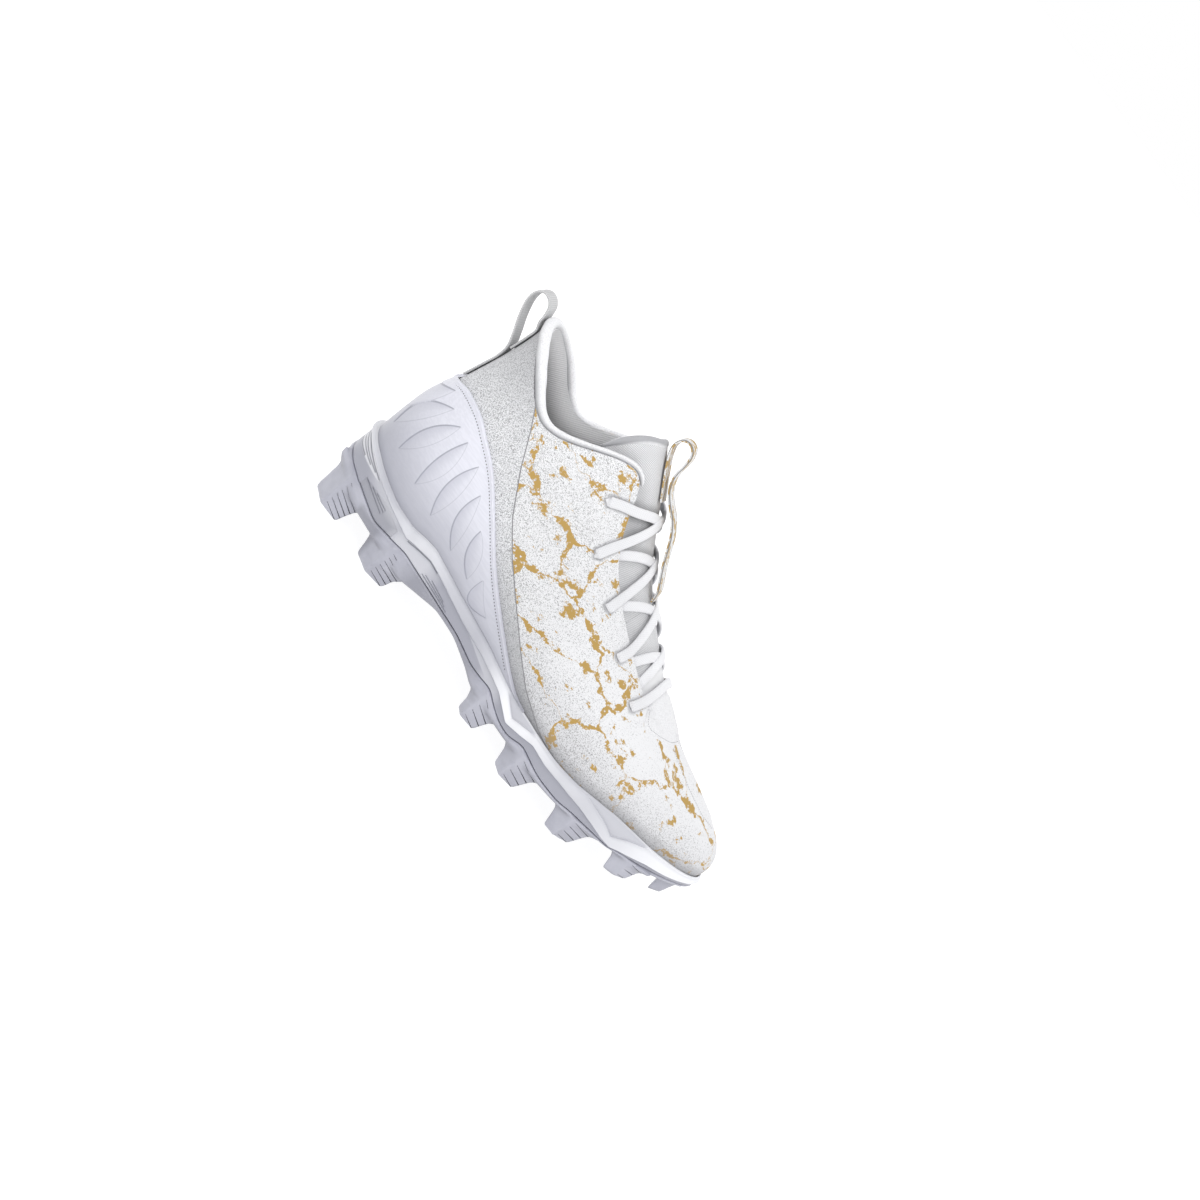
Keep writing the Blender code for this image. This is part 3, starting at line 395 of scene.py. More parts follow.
webbing = {
    "tongueWebbing": {"thread": (0.86, 0.86, 0.865), "gap": (0.68, 0.68, 0.685), "gold": (0.47, 0.30, 0.085),
                      "border": (0.20, 0.195, 0.19), "fleckGrain": (130, 210, 1), "flecks": (0.505, 0.535),
                      "borderAt": 0.0049, "borderLine": (0.0010, 0.0005)},
    # the heel ribbon's grey is in part painted shade of its shaded side
    "heelWebbing": {"thread": (0.66, 0.662, 0.67), "gap": (0.48, 0.482, 0.49)}}
weave = {
    "weftScale": 330, "warpScale": 230, "weft": (0.1, 0.7), "warp": (0.05, 0.5),
    "surface": {"Roughness": 0.7, "Sheen Weight": 0.15}, "bump": (0.4, 0.0004)}


# Woven ribbon; the tongue's has gold flecks and a dark thread along each border
def webbingPattern(tree, look):
    uv = uvOf(tree, "ribbonUv")
    weft, warp = (ramp(waveOf(uv, look[name + "Scale"], distortion, way), *look[name])
                  for name, distortion, way in (("weft", 0.5, "X"), ("warp", 0.3, "Y")))
    woven = times(weft, warp)
    body = blend(woven, look["gap"], look["thread"])
    if "gold" in look:
        flecks = noiseOf(mapped(uv, look["fleckGrain"]), 1.0, 7, 0.7)
        body = blend(ramp(flecks, *look["flecks"]), body, look["gold"])
        across = calc("ABSOLUTE", splitOf(uv)["Y"])
        fromThread = calc("ABSOLUTE", calc("SUBTRACT", across, look["borderAt"]))
        body = blend(ramp(fromThread, *look["borderLine"]), body, look["border"])
    return body, woven


laceBraid = {
    "light": (0.86, 0.862, 0.885), "dark": (0.75, 0.752, 0.775), "shade": (0.17, 0.175, 0.20),
    "slant": 50, "pitch": 0.314 / 0.0010, "braid": (0.2, 0.75),
    "surface": {"Roughness": 0.72, "Sheen Weight": 0.2}, "bump": (0.35, 0.0003)}


# Braided lace, dimmer by the shade that the laces carry
def laceBraidPattern(tree, look):
    braid = calc("MAXIMUM", *hatchOf(uvOf(tree, "laceUv"), look["slant"], look["pitch"], 0.2))
    body = blend(ramp(braid, *look["braid"]), look["dark"], look["light"])
    return blend(attributeOf(tree, "laceShade"), body, look["shade"]), braid


footbed = {
    "light": (0.56, 0.56, 0.58), "dark": (0.40, 0.40, 0.42), "nap": (0.3, 0.7),
    "surface": {"Roughness": 0.85, "Sheen Weight": 0.2}, "bump": (0.4, 0.0004)}


def footbedPattern(tree, look):
    nap = noiseOf(objectCoords(tree), 1000, 3)
    body = blend(ramp(nap, *look["nap"]), look["dark"], look["light"])
    return body, nap


threads = {
    "darkThread": {"light": (0.20, 0.20, 0.21), "dark": (0.09, 0.09, 0.10)},
    "paleThread": {"light": (0.44, 0.44, 0.45), "dark": (0.26, 0.26, 0.28)}}
twist = {"surface": {"Roughness": 0.7}, "bump": (0.3, 0.0002)}


def threadPattern(tree, look):
    ply = noiseOf(objectCoords(tree), 1800)
    return blend(ply, look["dark"], look["light"]), ply


finishes = {name: makeFinish(name, look, pattern) for name, look, pattern in (
    ("printCloth", printCloth, printClothPattern), ("liningCloth", liningCloth, liningClothPattern),
    ("counterFilm", counterFilm, counterFilmPattern), ("soleShell", soleShell, soleShellPattern),
    ("soleRim", soleRim, soleRimPattern), ("collarKnit", collarKnit, collarKnitPattern),
    ("tongueMesh", tongueMesh, tongueMeshPattern), ("laceBraid", laceBraid, laceBraidPattern),
    ("footbed", footbed, footbedPattern),
    *((name, {**weave, **look}, webbingPattern) for name, look in webbing.items()),
    *((name, {**twist, **look}, threadPattern) for name, look in threads.items()))}
print("finishes made", len(finishes))


def table(columns, rows):
    return {name: np.array([row[i] for row in rows], float) for i, name in enumerate(columns.split())}


# From 0 to 1 as a value passes its start; a negative span counts toward the start instead
def rising(value, start, span):
    return np.clip((value - start) / span, 0, 1)


def unitOf(vectors):
    return vectors / np.linalg.norm(vectors, axis=-1, keepdims=True)


def lengthAlong(path):
    return np.concatenate([[0], np.cumsum(np.linalg.norm(np.diff(path, axis=0), axis=1))])


def roundAngles(sides):
    return 2 * pi * np.arange(sides) / sides - pi / 2


# Widths that close a tube softly over its first and last steps
def roundedEnds(count, reach):
    steps = np.arange(count)
    return np.clip(np.minimum(steps, steps[::-1]) / reach, 0.05, 1) ** 0.5


# Ribs of the upper, heel to toe, from the seat on the sole to the top edge, with their Bezier handles
ribs = table("x yLat yMed z topX topYLat topYMed topZ lowOut lowRise highOut highDrop", [
    (3.5, 0, 0, 31.0, 12.5, 0, 0, 146.0, 10.5, 35, -5, 31),
    (8.5, -17, 17, 31.0, 15.5, -13, 13, 143.5, 10.5, 34, -3.5, 30),
    (22, -27, 26.5, 31.0, 23.4, -22, 22.5, 138.0, 9, 32, -1, 28),
    (42, -31, 30, 31.0, 35, -28.5, 29, 130.2, 8, 32, 3, 30),
    (65, -32, 30, 31.0, 55.6, -31, 32, 121.5, 6, 32, 3, 30),
    (90, -33, 28.5, 30.5, 79.5, -31, 33, 134.0, 6, 34, 4, 34),
    (115, -35.5, 28.5, 29.5, 100, -27.5, 31, 145.5, 5, 36, 6, 38),
    (140, -40, 32, 27.5, 112.5, -24, 30, 136.0, 4.5, 34, 8, 36),
    (165, -44.5, 38.5, 25.3, 126, -24.5, 31.5, 116.5, 4, 30, 10, 24),
    (190, -47, 43, 24.3, 147, -24, 31.5, 100.0, 3, 25, 12, 17),
    (215, -45.5, 45, 25.0, 172, -21.5, 29.5, 87.5, 3, 20, 13, 13),
    (240, -38, 42, 27.5, 197, -18, 26, 76.5, 3, 17, 13, 9),
    (252, -32, 38.5, 29.2, 216, -10.5, 18.5, 70.6, 3.5, 16, 14, 6),
    (265.5, -25.5, 34.5, 30.8, 222, 4, 4, 71.0, 4.5, 15.5, 16, 5.2),
    (279.5, -11.5, 24.5, 32.6, 246, 6.5, 6.5, 65.8, 8, 14, 14, 6),
    (286.8, 6.5, 6.5, 34.0, 258, 8, 8, 62.8, 13.5, 14, 16, 7.5),
])
throatEnd, toeRib, slope = 13, 15, 0.01


def closedSpline(lateralValues, medialValues):
    values = np.concatenate([lateralValues, medialValues[-2:0:-1]])
    count = len(values)
    unit = np.eye(count)
    matrix = 4 * unit + np.roll(unit, 1, 0) + np.roll(unit, -1, 0)
    bend = np.linalg.solve(matrix, 6 * (np.roll(values, 1) - 2 * values + np.roll(values, -1)))

    def at(place):
        first = np.floor(place).astype(int)
        part = place - first
        rest = 1 - part
        near, far = first % count, (first + 1) % count
        straight = values[near] * rest + values[far] * part
        return straight + ((rest ** 3 - rest) * bend[near] + (part ** 3 - part) * bend[far]) / 6

    return at


def loopCurves(names, rows):
    return [closedSpline(ribs[near][rows], ribs[far][rows]) for near, far in names]


seatCurves = loopCurves((("x", "x"), ("yLat", "yMed"), ("z", "z")), slice(None))
topCurves = loopCurves((("topX", "topX"), ("topYLat", "topYMed"), ("topZ", "topZ")), slice(0, throatEnd + 1))
spineCurves = [np.polyfit((throatEnd, throatEnd + 1, toeRib), ribs[name][throatEnd:], 2)
               for name in ("topX", "topYLat", "topZ")]
handleCurves = {name: closedSpline(ribs[name], ribs[name]) for name in ("lowOut", "lowRise", "highOut", "highDrop")}


def onLoop(rib, side, last):
    return np.where(side < 0, rib, 2 * last - rib)


def seatLine(rib, side):
    place = onLoop(rib, side, toeRib)
    return np.stack([curve(place) for curve in seatCurves], -1)


def outward(rib, side):
    place = onLoop(rib, side, toeRib)
    run = [curve(place + slope) - curve(place - slope) for curve in seatCurves[:2]]
    size = np.hypot(run[0], run[1])
    return np.stack([run[1] / size, -run[0] / size, np.zeros_like(size)], -1)


def topLine(rib, side):
    slowing = np.clip(rib - (throatEnd - 1), 0, 1)
    place = onLoop(rib + slowing ** 2 - slowing ** 3, side, throatEnd)
    opening = np.stack([curve(place) for curve in topCurves], -1)
    span = toeRib - throatEnd
    part = (rib - throatEnd) / span
    eased = throatEnd + span * part ** 2 * (3 - 2 * part)
    spine = np.stack([np.polyval(curve, eased) for curve in spineCurves], -1)
    return np.where((rib <= throatEnd)[..., None], opening, spine)


def upperPoint(rib, side, share):
    rib, side, share = np.broadcast_arrays(np.asarray(rib, float), side, np.asarray(share, float))
    low, high, out = seatLine(rib, side), topLine(rib, side), outward(rib, side)
    place = onLoop(rib, side, toeRib)
    handle = {name: curve(place)[..., None] for name, curve in handleCurves.items()}
    lean = (high - low) * np.array([1 / 3, 0, 0])
    up = np.array([0, 0, 1.0])
    lowEnd = low + lean + out * handle["lowOut"] + up * handle["lowRise"]
    highEnd = high - lean + out * handle["highOut"] - up * handle["highDrop"]
    share = share[..., None]
    rest = 1 - share
    return low * rest ** 3 + 3 * lowEnd * share * rest ** 2 + 3 * highEnd * share ** 2 * rest + high * share ** 3


def upperNormal(rib, side, share):
    rib, side, share = np.broadcast_arrays(np.asarray(rib, float), side, np.asarray(share, float))
    share = np.clip(share, slope, 1 - slope)
    along = upperPoint(rib + slope, side, share) - upperPoint(rib - slope, side, share)
    rise = upperPoint(rib, side, share + slope) - upperPoint(rib, side, share - slope)
    return unitOf(np.cross(along, rise) * -np.asarray(side, float)[..., None])


def shareAt(rib, side, height):
    low, high = np.zeros_like(rib), np.ones_like(rib)
    for _ in range(30):
        middle = (low + high) / 2
        below = upperPoint(rib, side, middle)[..., 2] < height
        low, high = np.where(below, middle, low), np.where(below, high, middle)
    return (low + high) / 2


# Columns round the whole shoe
def ringColumns(perRib):
    half = np.arange(toeRib * perRib + 1) / perRib
    side = np.concatenate([np.full(len(half), lateral), np.full(len(half) - 2, medial)])
    return np.concatenate([half, half[-2:0:-1]]), side


# Columns from a lateral place round the heel to the medial one
def archColumns(perRib, lastThird):
    half = np.arange(0, int(lastThird / 3 * perRib) + 1) / perRib
    side = np.concatenate([np.full(len(half), lateral), np.full(len(half) - 1, medial)])
    return np.concatenate([half[::-1], half[1:]]), side


def withHeight(points, height):
    moved = points.copy()
    moved[..., 2] = height
    return moved


def gridFaces(columns, rows, closed):
    c = np.arange(columns if closed else columns - 1)[:, None]
    r = np.arange(rows - 1)[None]
    n = (c + 1) % columns
    return np.stack([c * rows + r, n * rows + r, n * rows + r + 1, c * rows + r + 1], -1).reshape(-1, 4).tolist()


# Strips across the shoe between the two ends of one row of a ring
def capFaces(columns, rows, row):
    faces = []
    for c in range(columns // 2):
        corners = dict.fromkeys([c, c + 1, (columns - c - 1) % columns, (columns - c) % columns])
        faces.append([corner * rows + row for corner in corners])
    return faces


meshLimits = {"weld": 2e-6, "sliver": 1e-6}


def addPiece(name, points, faces, finishNames, sharp=0.7, shell=False):
    mesh = bpy.data.meshes.new(name)
    mesh.from_pydata(placed(np.reshape(points, (-1, 3))).tolist(), [], faces)
    work = bmesh.new()
    work.from_mesh(mesh)
    bmesh.ops.remove_doubles(work, verts=work.verts, dist=meshLimits["weld"])
    bmesh.ops.dissolve_degenerate(work, edges=work.edges, dist=meshLimits["sliver"])
    if not shell:
        bmesh.ops.recalc_face_normals(work, faces=work.faces)
    work.to_mesh(mesh)
    work.free()
    for finish in finishNames:
        mesh.materials.append(finishes[finish])
    shadeSmooth(mesh, sharp)
    return linkObject(name, mesh)


def shadeSmooth(mesh, sharp):
    mesh.shade_smooth()
    mesh.set_sharp_from_angle(angle=sharp)


def removePiece(piece):
    mesh = piece.data
    bpy.data.objects.remove(piece)
    bpy.data.meshes.remove(mesh)


# Modifiers are applied, so that every finished piece is a plain mesh
def applyAll(piece):
    bpy.context.view_layer.update()
    graph = bpy.context.evaluated_depsgraph_get()
    mesh = bpy.data.meshes.new_from_object(piece.evaluated_get(graph))
    piece.modifiers.clear()
    old = piece.data
    piece.data = mesh
    bpy.data.meshes.remove(old)
    mesh.name = piece.name


def cutAway(piece, cutter, solver="EXACT"):
    change = piece.modifiers.new("cut", "BOOLEAN")
    change.operation = "DIFFERENCE"
    change.solver = solver
    change.object = cutter
    applyAll(piece)
    removePiece(cutter)


def readAll(items, name):
    flat = np.empty(len(items) * 3)
    items.foreach_get(name, flat)
    return flat.reshape(-1, 3)


def meshPoints(mesh):
    return unplaced(readAll(mesh.vertices, "co"))


def setAttribute(mesh, name, values):
    layer = mesh.attributes.new(name, "FLOAT", "POINT")
    layer.data.foreach_set("value", np.asarray(values, np.float32))


def joinParts(parts):
    points, faces, start = [], [], 0
    for partPoints, partFaces in parts:
        points.append(partPoints)
        faces.extend([[start + i for i in face] for face in partFaces])
        start += len(partPoints)
    return np.vstack(points), faces


def smoothPath(points, count):
    points = np.asarray(points, float)
    padded = np.concatenate([[2 * points[0] - points[1]], points, [2 * points[-1] - points[-2]]])
    place = np.linspace(0, len(points) - 1, count)
    first = np.minimum(place.astype(int), len(points) - 2)
    part = (place - first).reshape((-1,) + (1,) * (points.ndim - 1))
    a, b, c, d = (padded[first + i] for i in range(4))
    return 0.5 * (2 * b + (c - a) * part + (2 * a - 5 * b + 4 * c - d) * part ** 2
                  + (3 * b - a - 3 * c + d) * part ** 3)


# Closed tube of flattened section along a path; the section squares up as its power rises
def tubeAlong(path, up, halfWidth, halfHeight, sides, power=2.0):
    path = np.asarray(path, float)
    run = unitOf(np.gradient(path, axis=0))
    wide = unitOf(np.cross(run, np.asarray(up, float)))
    rise = np.cross(wide, run)
    angle = roundAngles(sides)
    c, s = (np.sign(wave) * np.abs(wave) ** (2 / power) for wave in (np.cos(angle), np.sin(angle)))
    width = np.reshape(halfWidth, (-1, 1)) * c
    height = np.reshape(halfHeight, (-1, 1)) * s
    points = path[:, None] + wide[:, None] * width[..., None] + rise[:, None] * height[..., None]
    start, r = (places.ravel() for places in np.mgrid[:len(path) - 1, :sides] * [[[sides]], [[1]]])
    n = (r + 1) % sides
    faces = np.stack([start + r, start + n, start + sides + n, start + sides + r], -1).tolist()
    caps = [list(range(sides))[::-1], list(range((len(path) - 1) * sides, len(path) * sides))]
    return points.reshape(-1, 3), faces + caps


# Distance in the side view to a line of (x, z) points, positive on its upper, front side
def sideGap(points, line):
    line = np.asarray(line, float)
    flat = points[..., [0, 2]]
    best = np.full(flat.shape[:-1], 1e9)
    signed = best.copy()
    for start, end in zip(line[:-1], line[1:]):
        run = end - start
        part = np.clip(((flat - start) @ run) / (run @ run), 0, 1)
        away = flat - (start + part[..., None] * run)
        size = np.linalg.norm(away, axis=-1)
        turn = run[0] * (flat[..., 1] - start[1]) - run[1] * (flat[..., 0] - start[0])
        nearer = size < best
        best = np.where(nearer, size, best)
        signed = np.where(nearer, size * np.where(turn >= 0, 1, -1), signed)
    return signed


def segmentGap(points, start, end):
    start, run = np.asarray(start, float), np.asarray(end, float) - np.asarray(start, float)
    part = np.clip(((points - start) @ run) / (run @ run), 0, 1)
    return np.linalg.norm(points - (start + part[..., None] * run), axis=-1)


# Rows of lacing from the top: the hole on the upper, the ribs where the lace crosses the throat's edge on top
# of the upper and under it, and the bow of the crossing below toward the toe
lacing = table("rib share over under bow", [
    (6.30, 0.847, 7.30, 7.30, 0.42), (7.38, 0.775, 8.00, 8.25, 0.2), (8.80, 0.853, 9.03, 9.20, 0.06),
    (9.70, 0.835, 10.00, 10.25, 0), (10.50, 0.787, 11.00, 10.70, 0)])

upperShell = {
    "wall": 2.0, "perRib": 16, "rows": 76, "eyelet": 2.2, "eyeletSides": 20, "eyeletDimple": 0.5,
    "dimpleSpread": 4.5, "seamDepth": 0.35, "seamSoftness": 0.9, "topFade": 0.03,
    "liningPad": 2.6, "liningReach": 32.0, "liningEnd": 6.7, "liningFade": 0.8, "liningRise": 2.6, "riseReach": 5,
    # stretch of the vamp that is eased over its spine
    "spineEase": 60, "spineFrom": 218, "spineMiddle": 5, "spineHalf": 13, "spineLow": 55,
    "quarterSeam": [(40.0, 130.0), (42.8, 126.3), (53.1, 115.3), (66, 99.3), (83.7, 81.1), (99.7, 68.9),
                    (116.9, 58.5), (139, 46.2), (157.1, 37), (177, 30.5), (186.3, 28.6), (200, 26)],
    # soft creases: two ends, depth (a ridge when negative) and spread
    "creases": [((205, -40, 52), (226, -16, 68), 0.5, 7.0), ((212, -44, 46), (236, -22, 60), -0.35, 6.0),
                ((207, 40, 52), (228, 20, 67), 0.5, 7.0), ((92, -36, 96), (112, -36, 84), 0.7, 8.0),
                ((84, -34, 112), (104, -34, 104), 0.5, 7.0), ((92, 33, 100), (112, 33, 88), 0.7, 8.0)],
}


def eyeletPlace(row, side):
    rib, share = lacing["rib"][row], lacing["share"][row]
    return upperPoint(rib, side, share), upperNormal(rib, side, share)


def upperRelief(points):
    size = upperShell
    relief = -size["seamDepth"] * np.exp(-(sideGap(points, size["quarterSeam"]) / size["seamSoftness"]) ** 2)
    for start, end, depth, spread in size["creases"]:
        relief -= depth * np.exp(-(segmentGap(points, start, end) / spread) ** 2)
    for side in (lateral, medial):
        for row in range(len(lacing["rib"])):
            gap = np.linalg.norm(points - eyeletPlace(row, side)[0], axis=-1)
            relief -= size["eyeletDimple"] * np.exp(-(gap / size["dimpleSpread"]) ** 2)
    return relief


# Hollow knit shell: the outer face carries the relief, the lining lies a wall inside it
def makeUpper():
    size = upperShell
    rib, side = ringColumns(size["perRib"])
    count, rows = len(rib), size["rows"]
    share = np.linspace(0, 1, rows)[None]
    outer = upperPoint(rib[:, None], side[:, None], share)
    away = upperNormal(rib[:, None], side[:, None], share)
    away[:, 0] = outward(rib, side)
    mirror = (count - np.arange(count)) % count
    spine = rib >= throatEnd
    away[spine, -1] = (away[spine, -1] + away[mirror[spine], -1]) / 2
    under = (outer[:, -1:, 2] - outer[..., 2]) / size["liningReach"]
    soft = np.clip(1 - under, 0, 1)
    held = rising(rib, size["liningEnd"], -size["liningFade"])[:, None]
    inner = outer - away * (size["wall"] + size["liningPad"] * held * soft ** 2 * (3 - 2 * soft))[..., None]
    inner[..., 2] += size["liningRise"] * held * np.clip(1 - under * size["riseReach"], 0, 1) ** 2
    outer = outer + away * (upperRelief(outer) * rising(share, 1, -size["topFade"]))[..., None]
    start = count * rows
    outerFaces = gridFaces(count, rows, True)
    innerFaces = [[start + i for i in face[::-1]] for face in outerFaces]
    edges = []
    for c in range(count):
        n = (c + 1) % count
        openTop = max(rib[c], rib[n]) <= throatEnd
        for row in (0, rows - 1) if openTop else (0,):
            edges.append((c * rows + row, n * rows + row, start + n * rows + row, start + c * rows + row))
    piece = addPiece("upperShell", np.concatenate([outer, inner]), outerFaces + innerFaces + edges,
                     ["printCloth", "liningCloth"], sharp=1.0)
    easeSpine(piece.data)
    holes = []
    for side in (lateral, medial):
        for row in range(len(lacing["rib"])):
            centre, normal = eyeletPlace(row, side)
            across = np.cross(normal, [1, 0, 0])
            path = [centre - normal * 2 * size["wall"], centre + normal * size["wall"]]
            holes.append(tubeAlong(path, [across, across], size["eyelet"], size["eyelet"], size["eyeletSides"]))
    cutAway(piece, addPiece("eyeletCutters", *joinParts(holes), ["liningCloth"]))
    mesh = piece.data
    setAttribute(mesh, "seamGap", sideGap(meshPoints(mesh), size["quarterSeam"]))
    lineWithin(mesh)
    shadeSmooth(mesh, 1.0)
    return piece


# The vamp runs smoothly over its spine in front of the throat
def easeSpine(mesh):
    size = upperShell
    work = bmesh.new()
    work.from_mesh(mesh)
    x, y, z = meshPoints(mesh).T
    near = (x > size["spineFrom"]) & (np.abs(y - size["spineMiddle"]) < size["spineHalf"]) & (z > size["spineLow"])
    work.verts.ensure_lookup_table()
    chosen = [work.verts[i] for i in np.where(near)[0] if not work.verts[i].is_boundary]
    for _ in range(size["spineEase"]):
        bmesh.ops.smooth_vert(work, verts=chosen, factor=0.5, use_axis_x=True, use_axis_y=True, use_axis_z=True)
    work.to_mesh(mesh)
    work.free()


# Line inside the shoe that its lining looks at, heights of its rear part, and the level faces of the collar's edge
shoeHeart = {
    "xFrom": 40, "xTo": 235, "y": 2.0, "x": (0, 120, 200, 260), "z": (75, 70, 45, 42),
    "rearEnd": 150, "rearLow": 50, "rearHigh": 110, "level": 0.8, "edgeLow": 115, "edgeEnd": 125}


# Faces that look into the shoe get the lining
def lineWithin(mesh):
    size = shoeHeart
    centre, normal = unplaced(readAll(mesh.polygons, "center")), readAll(mesh.polygons, "normal")
    x, z = centre[:, 0], centre[:, 2]
    middle = np.where(x < size["rearEnd"], np.clip(z, size["rearLow"], size["rearHigh"]),
                      np.interp(x, size["x"], size["z"]))
    heart = np.stack([np.clip(x, size["xFrom"], size["xTo"]), np.full(len(x), size["y"]), middle], -1)
    inward = np.einsum("ij,ij->i", normal, heart - centre) > 0
    inward |= (normal[:, 2] > size["level"]) & (z > size["edgeLow"]) & (x < size["edgeEnd"])
    mesh.polygons.foreach_set("material_index", inward.astype(np.int32))


upper = makeUpper()
print("upper", len(upper.data.polygons))


# Heights round the side of the sole at thirds of a rib
soleSide = table("third rim parting under flare", [
    (0, 44.3, 28.3, 23.5, 1), (3, 43.6, 27.2, 20.0, 1), (5, 42.0, 26.0, 16.5, 1), (7, 38.9, 23.5, 14.5, 1),
    (9, 35.8, 20.0, 14.0, 1), (11, 35.4, 22.6, 13.0, 1), (12, 37.5, 24.2, 12.5, 1), (13, 38.9, 23.8, 12.0, 1),
    (16, 35.7, 22.6, 19.6, 1), (18, 34.2, 22.2, 19.3, 1), (20, 33.2, 19.9, 15.6, 1), (21, 32.0, 20.5, 12.4, 1),
    (22, 30.8, 22.0, 12.2, 1), (23, 29.8, 18.4, 12.3, 1), (24, 29.4, 16.4, 12.5, 1), (25, 29.4, 16.2, 12.9, 1),
    (26, 29.0, 20.2, 13.2, 1), (28, 28.9, 17.2, 13.6, 1), (30, 30.5, 17.2, 15.0, 1), (31, 32.3, 19.0, 16.0, 1),
    (33, 34.8, 20.2, 18.2, 1), (35, 35.2, 20.6, 19.4, 1), (36, 35.4, 22.2, 20.2, 1), (39, 35.8, 25.6, 22.4, 0.95),
    (42, 36.2, 29.4, 26.8, 0.8), (45, 37.0, 32.4, 31.0, 0.6),
])
# Lower edge of the bright strip: a bead round the heel, a bevelled band from the waist on, two sharp dips
stripLow = table("third strip", [
    (0, 42.6), (3, 41.9), (5, 40.0), (6, 38.3), (7, 36.3), (8, 34.7), (9, 33.0), (10, 31.6), (11, 30.2),
    (11.3, 29.8), (11.8, 31.2), (12.5, 32.4), (13.4, 33.9), (14.4, 33.0), (16, 30.9), (17.5, 29.2), (18.7, 28.6),
    (20, 28.3), (21.4, 27.0), (22.5, 25.6), (23.5, 22.2), (24.25, 19.6), (25.4, 22.3), (26.4, 25.2), (27.8, 24.3),
    (29.2, 24.9), (31, 24.8), (32.2, 23.6), (33.6, 21.9), (35, 21.6), (37.2, 25.0), (39.1, 28.6), (41, 30.4),
    (43, 33.0), (45, 34.8)])
soleForm = {
    "perRib": 30, "rimGap": 0.5, "seatGap": 0.35, "lip": 1.0, "stripTop": 0.5, "stripLeast": 1.0, "stripOut": 4.0,
    "underDrop": 1.0, "wallOut": 2.6, "wallRows": 36, "spread": 0.38, "kinkSpread": 0.14, "smoothStep": 0.05,
    "smoothReach": 16, "groove": 0.5, "grooveWidth": 0.42, "recess": 0.6, "bared": 1.2,
    "innerTints": (0.4, 0.4, 0.7),
    # rows over the rim: step past the lip, fall, each also by the facet's drop; share of the tone, bared tint
    "lipRows": [(-0.5, 0, -0.15, 0, 0.7, 0), (0, 0, 0.15, 0, 0.75, 0), (0.1, 0.02, 0.45, 0.05, 1, 0.38),
                (0.15, 0.06, 0.55, 0.5, 1, 0.38), (0.2, 0.1, 0.5, 1, 1, 0.34), (0.75, 0.17, 0.8, 1, 0.8, 0)],
    # rows down the strip: shares of the way; then under it: step out, rise, share of the tone, tint
    "stripParts": (0.3, 0.6, 0.85), "stripFrom": -0.3, "stripTo": 0.7,
    "footRows": [(4.0, 0.35, 1, 0), (4.1, 0, 0.9, 0), (3.65, -0.25, 0, 0.15), (2.85, -0.7, 0, 0)],
    "wallStep": 0.1, "hemFrom": 0.93, "hemSpan": 0.07, "hemIn": 0.5, "hollowSoft": 0.5, "bevelSoft": 0.4,
    "bevelTint": 0.32, "footIn": 1.6,
    # paler top of the heel's wall, and painted highlights on its ridges
    "paleTint": 0.42, "paleFrom": 5.5, "paleTo": 11.5, "paleSoft": 1.5, "paleDrop": 0.55,
    "ridgePaintedHighlight": 0.68, "ridgeEnd": 6.9, "ridgeLow": 33.6, "ridgeSoft": 0.5, "far": 9.0}
# Facets above the two dips of the strip: thirds where each starts, is lowest and ends, with its drop
stripFacets = [(22.7, 24.25, 26.1, 5.5), (30.8, 34.1, 38.4, 8.6)]
# Brightness of the strip along the shoe
stripTone = table("third tone", [
    (0, 0.8), (4, 0.75), (7.4, 0.4), (10, 0.42), (12.2, 0.7), (13.5, 0.55), (15.5, 0.3), (19, 0.22), (20.8, 0.4),
    (22, 0.78), (23.5, 1.0), (25.5, 1.0), (27, 0.7), (29, 0.45), (31.5, 0.5), (33.7, 0.62), (36, 0.72), (38, 0.9),
    (40, 1.0), (45, 1.0)])
# Brightness of the wall below it
wallTone = table("third tone", [
    (0, 0), (10, 0), (11, 0.45), (13.5, 0.42), (15, 0), (20.5, 0), (21.3, 0.3), (22.3, 0.3), (23.2, 0), (45, 0)])
# Grooves of the wall, each as places (third, height)
wallGrooves = [
    [(0, 34.4), (4.3, 34.2)], [(0, 36.6), (3, 36.4), (5.4, 34.9)], [(0, 38.8), (2.4, 38.6), (6.2, 35.2)],
    [(0, 40.9), (3.4, 40.0), (6.9, 34.9)], [(6.1, 29.7), (8.8, 25.0)], [(7.0, 29.6), (8.9, 26.6)],
    [(7.6, 29.7), (8.9, 28.1)], [(13.7, 25.0), (16.4, 23.6)], [(13.9, 26.2), (16.1, 24.6)],
    [(14.4, 27.2), (15.8, 25.7)], [(11.5, 28.9), (12.5, 31.2), (13.4, 32.7), (14.2, 32.0)]]
# Top of the hollow in the heel wall, and foot of the lower bevel at the waist
wallHollow = [(6.1, 29.7), (7.5, 30.7), (8.9, 31.2), (10.5, 27.7)]
waistBevel = [(17.0, 30.3), (18.8, 26.9), (20.2, 24.2), (21.4, 21.9)]


# Heights between the table's places, with their kinks softened
def sideHeight(name, third):
    rows, spread = (stripLow, "kinkSpread") if name == "strip" else (soleSide, "spread")
    step, reach = soleForm["smoothStep"], soleForm["smoothReach"]
    fine = np.arange(0, 3 * toeRib + 0.01, step)
    kernel = np.exp(-(np.arange(-reach, reach + 1) * step / soleForm[spread]) ** 2)
    padded = np.pad(np.interp(fine, rows["third"], rows[name]), reach, mode="reflect")
    return np.interp(third, fine, np.convolve(padded, kernel / kernel.sum(), "valid"))


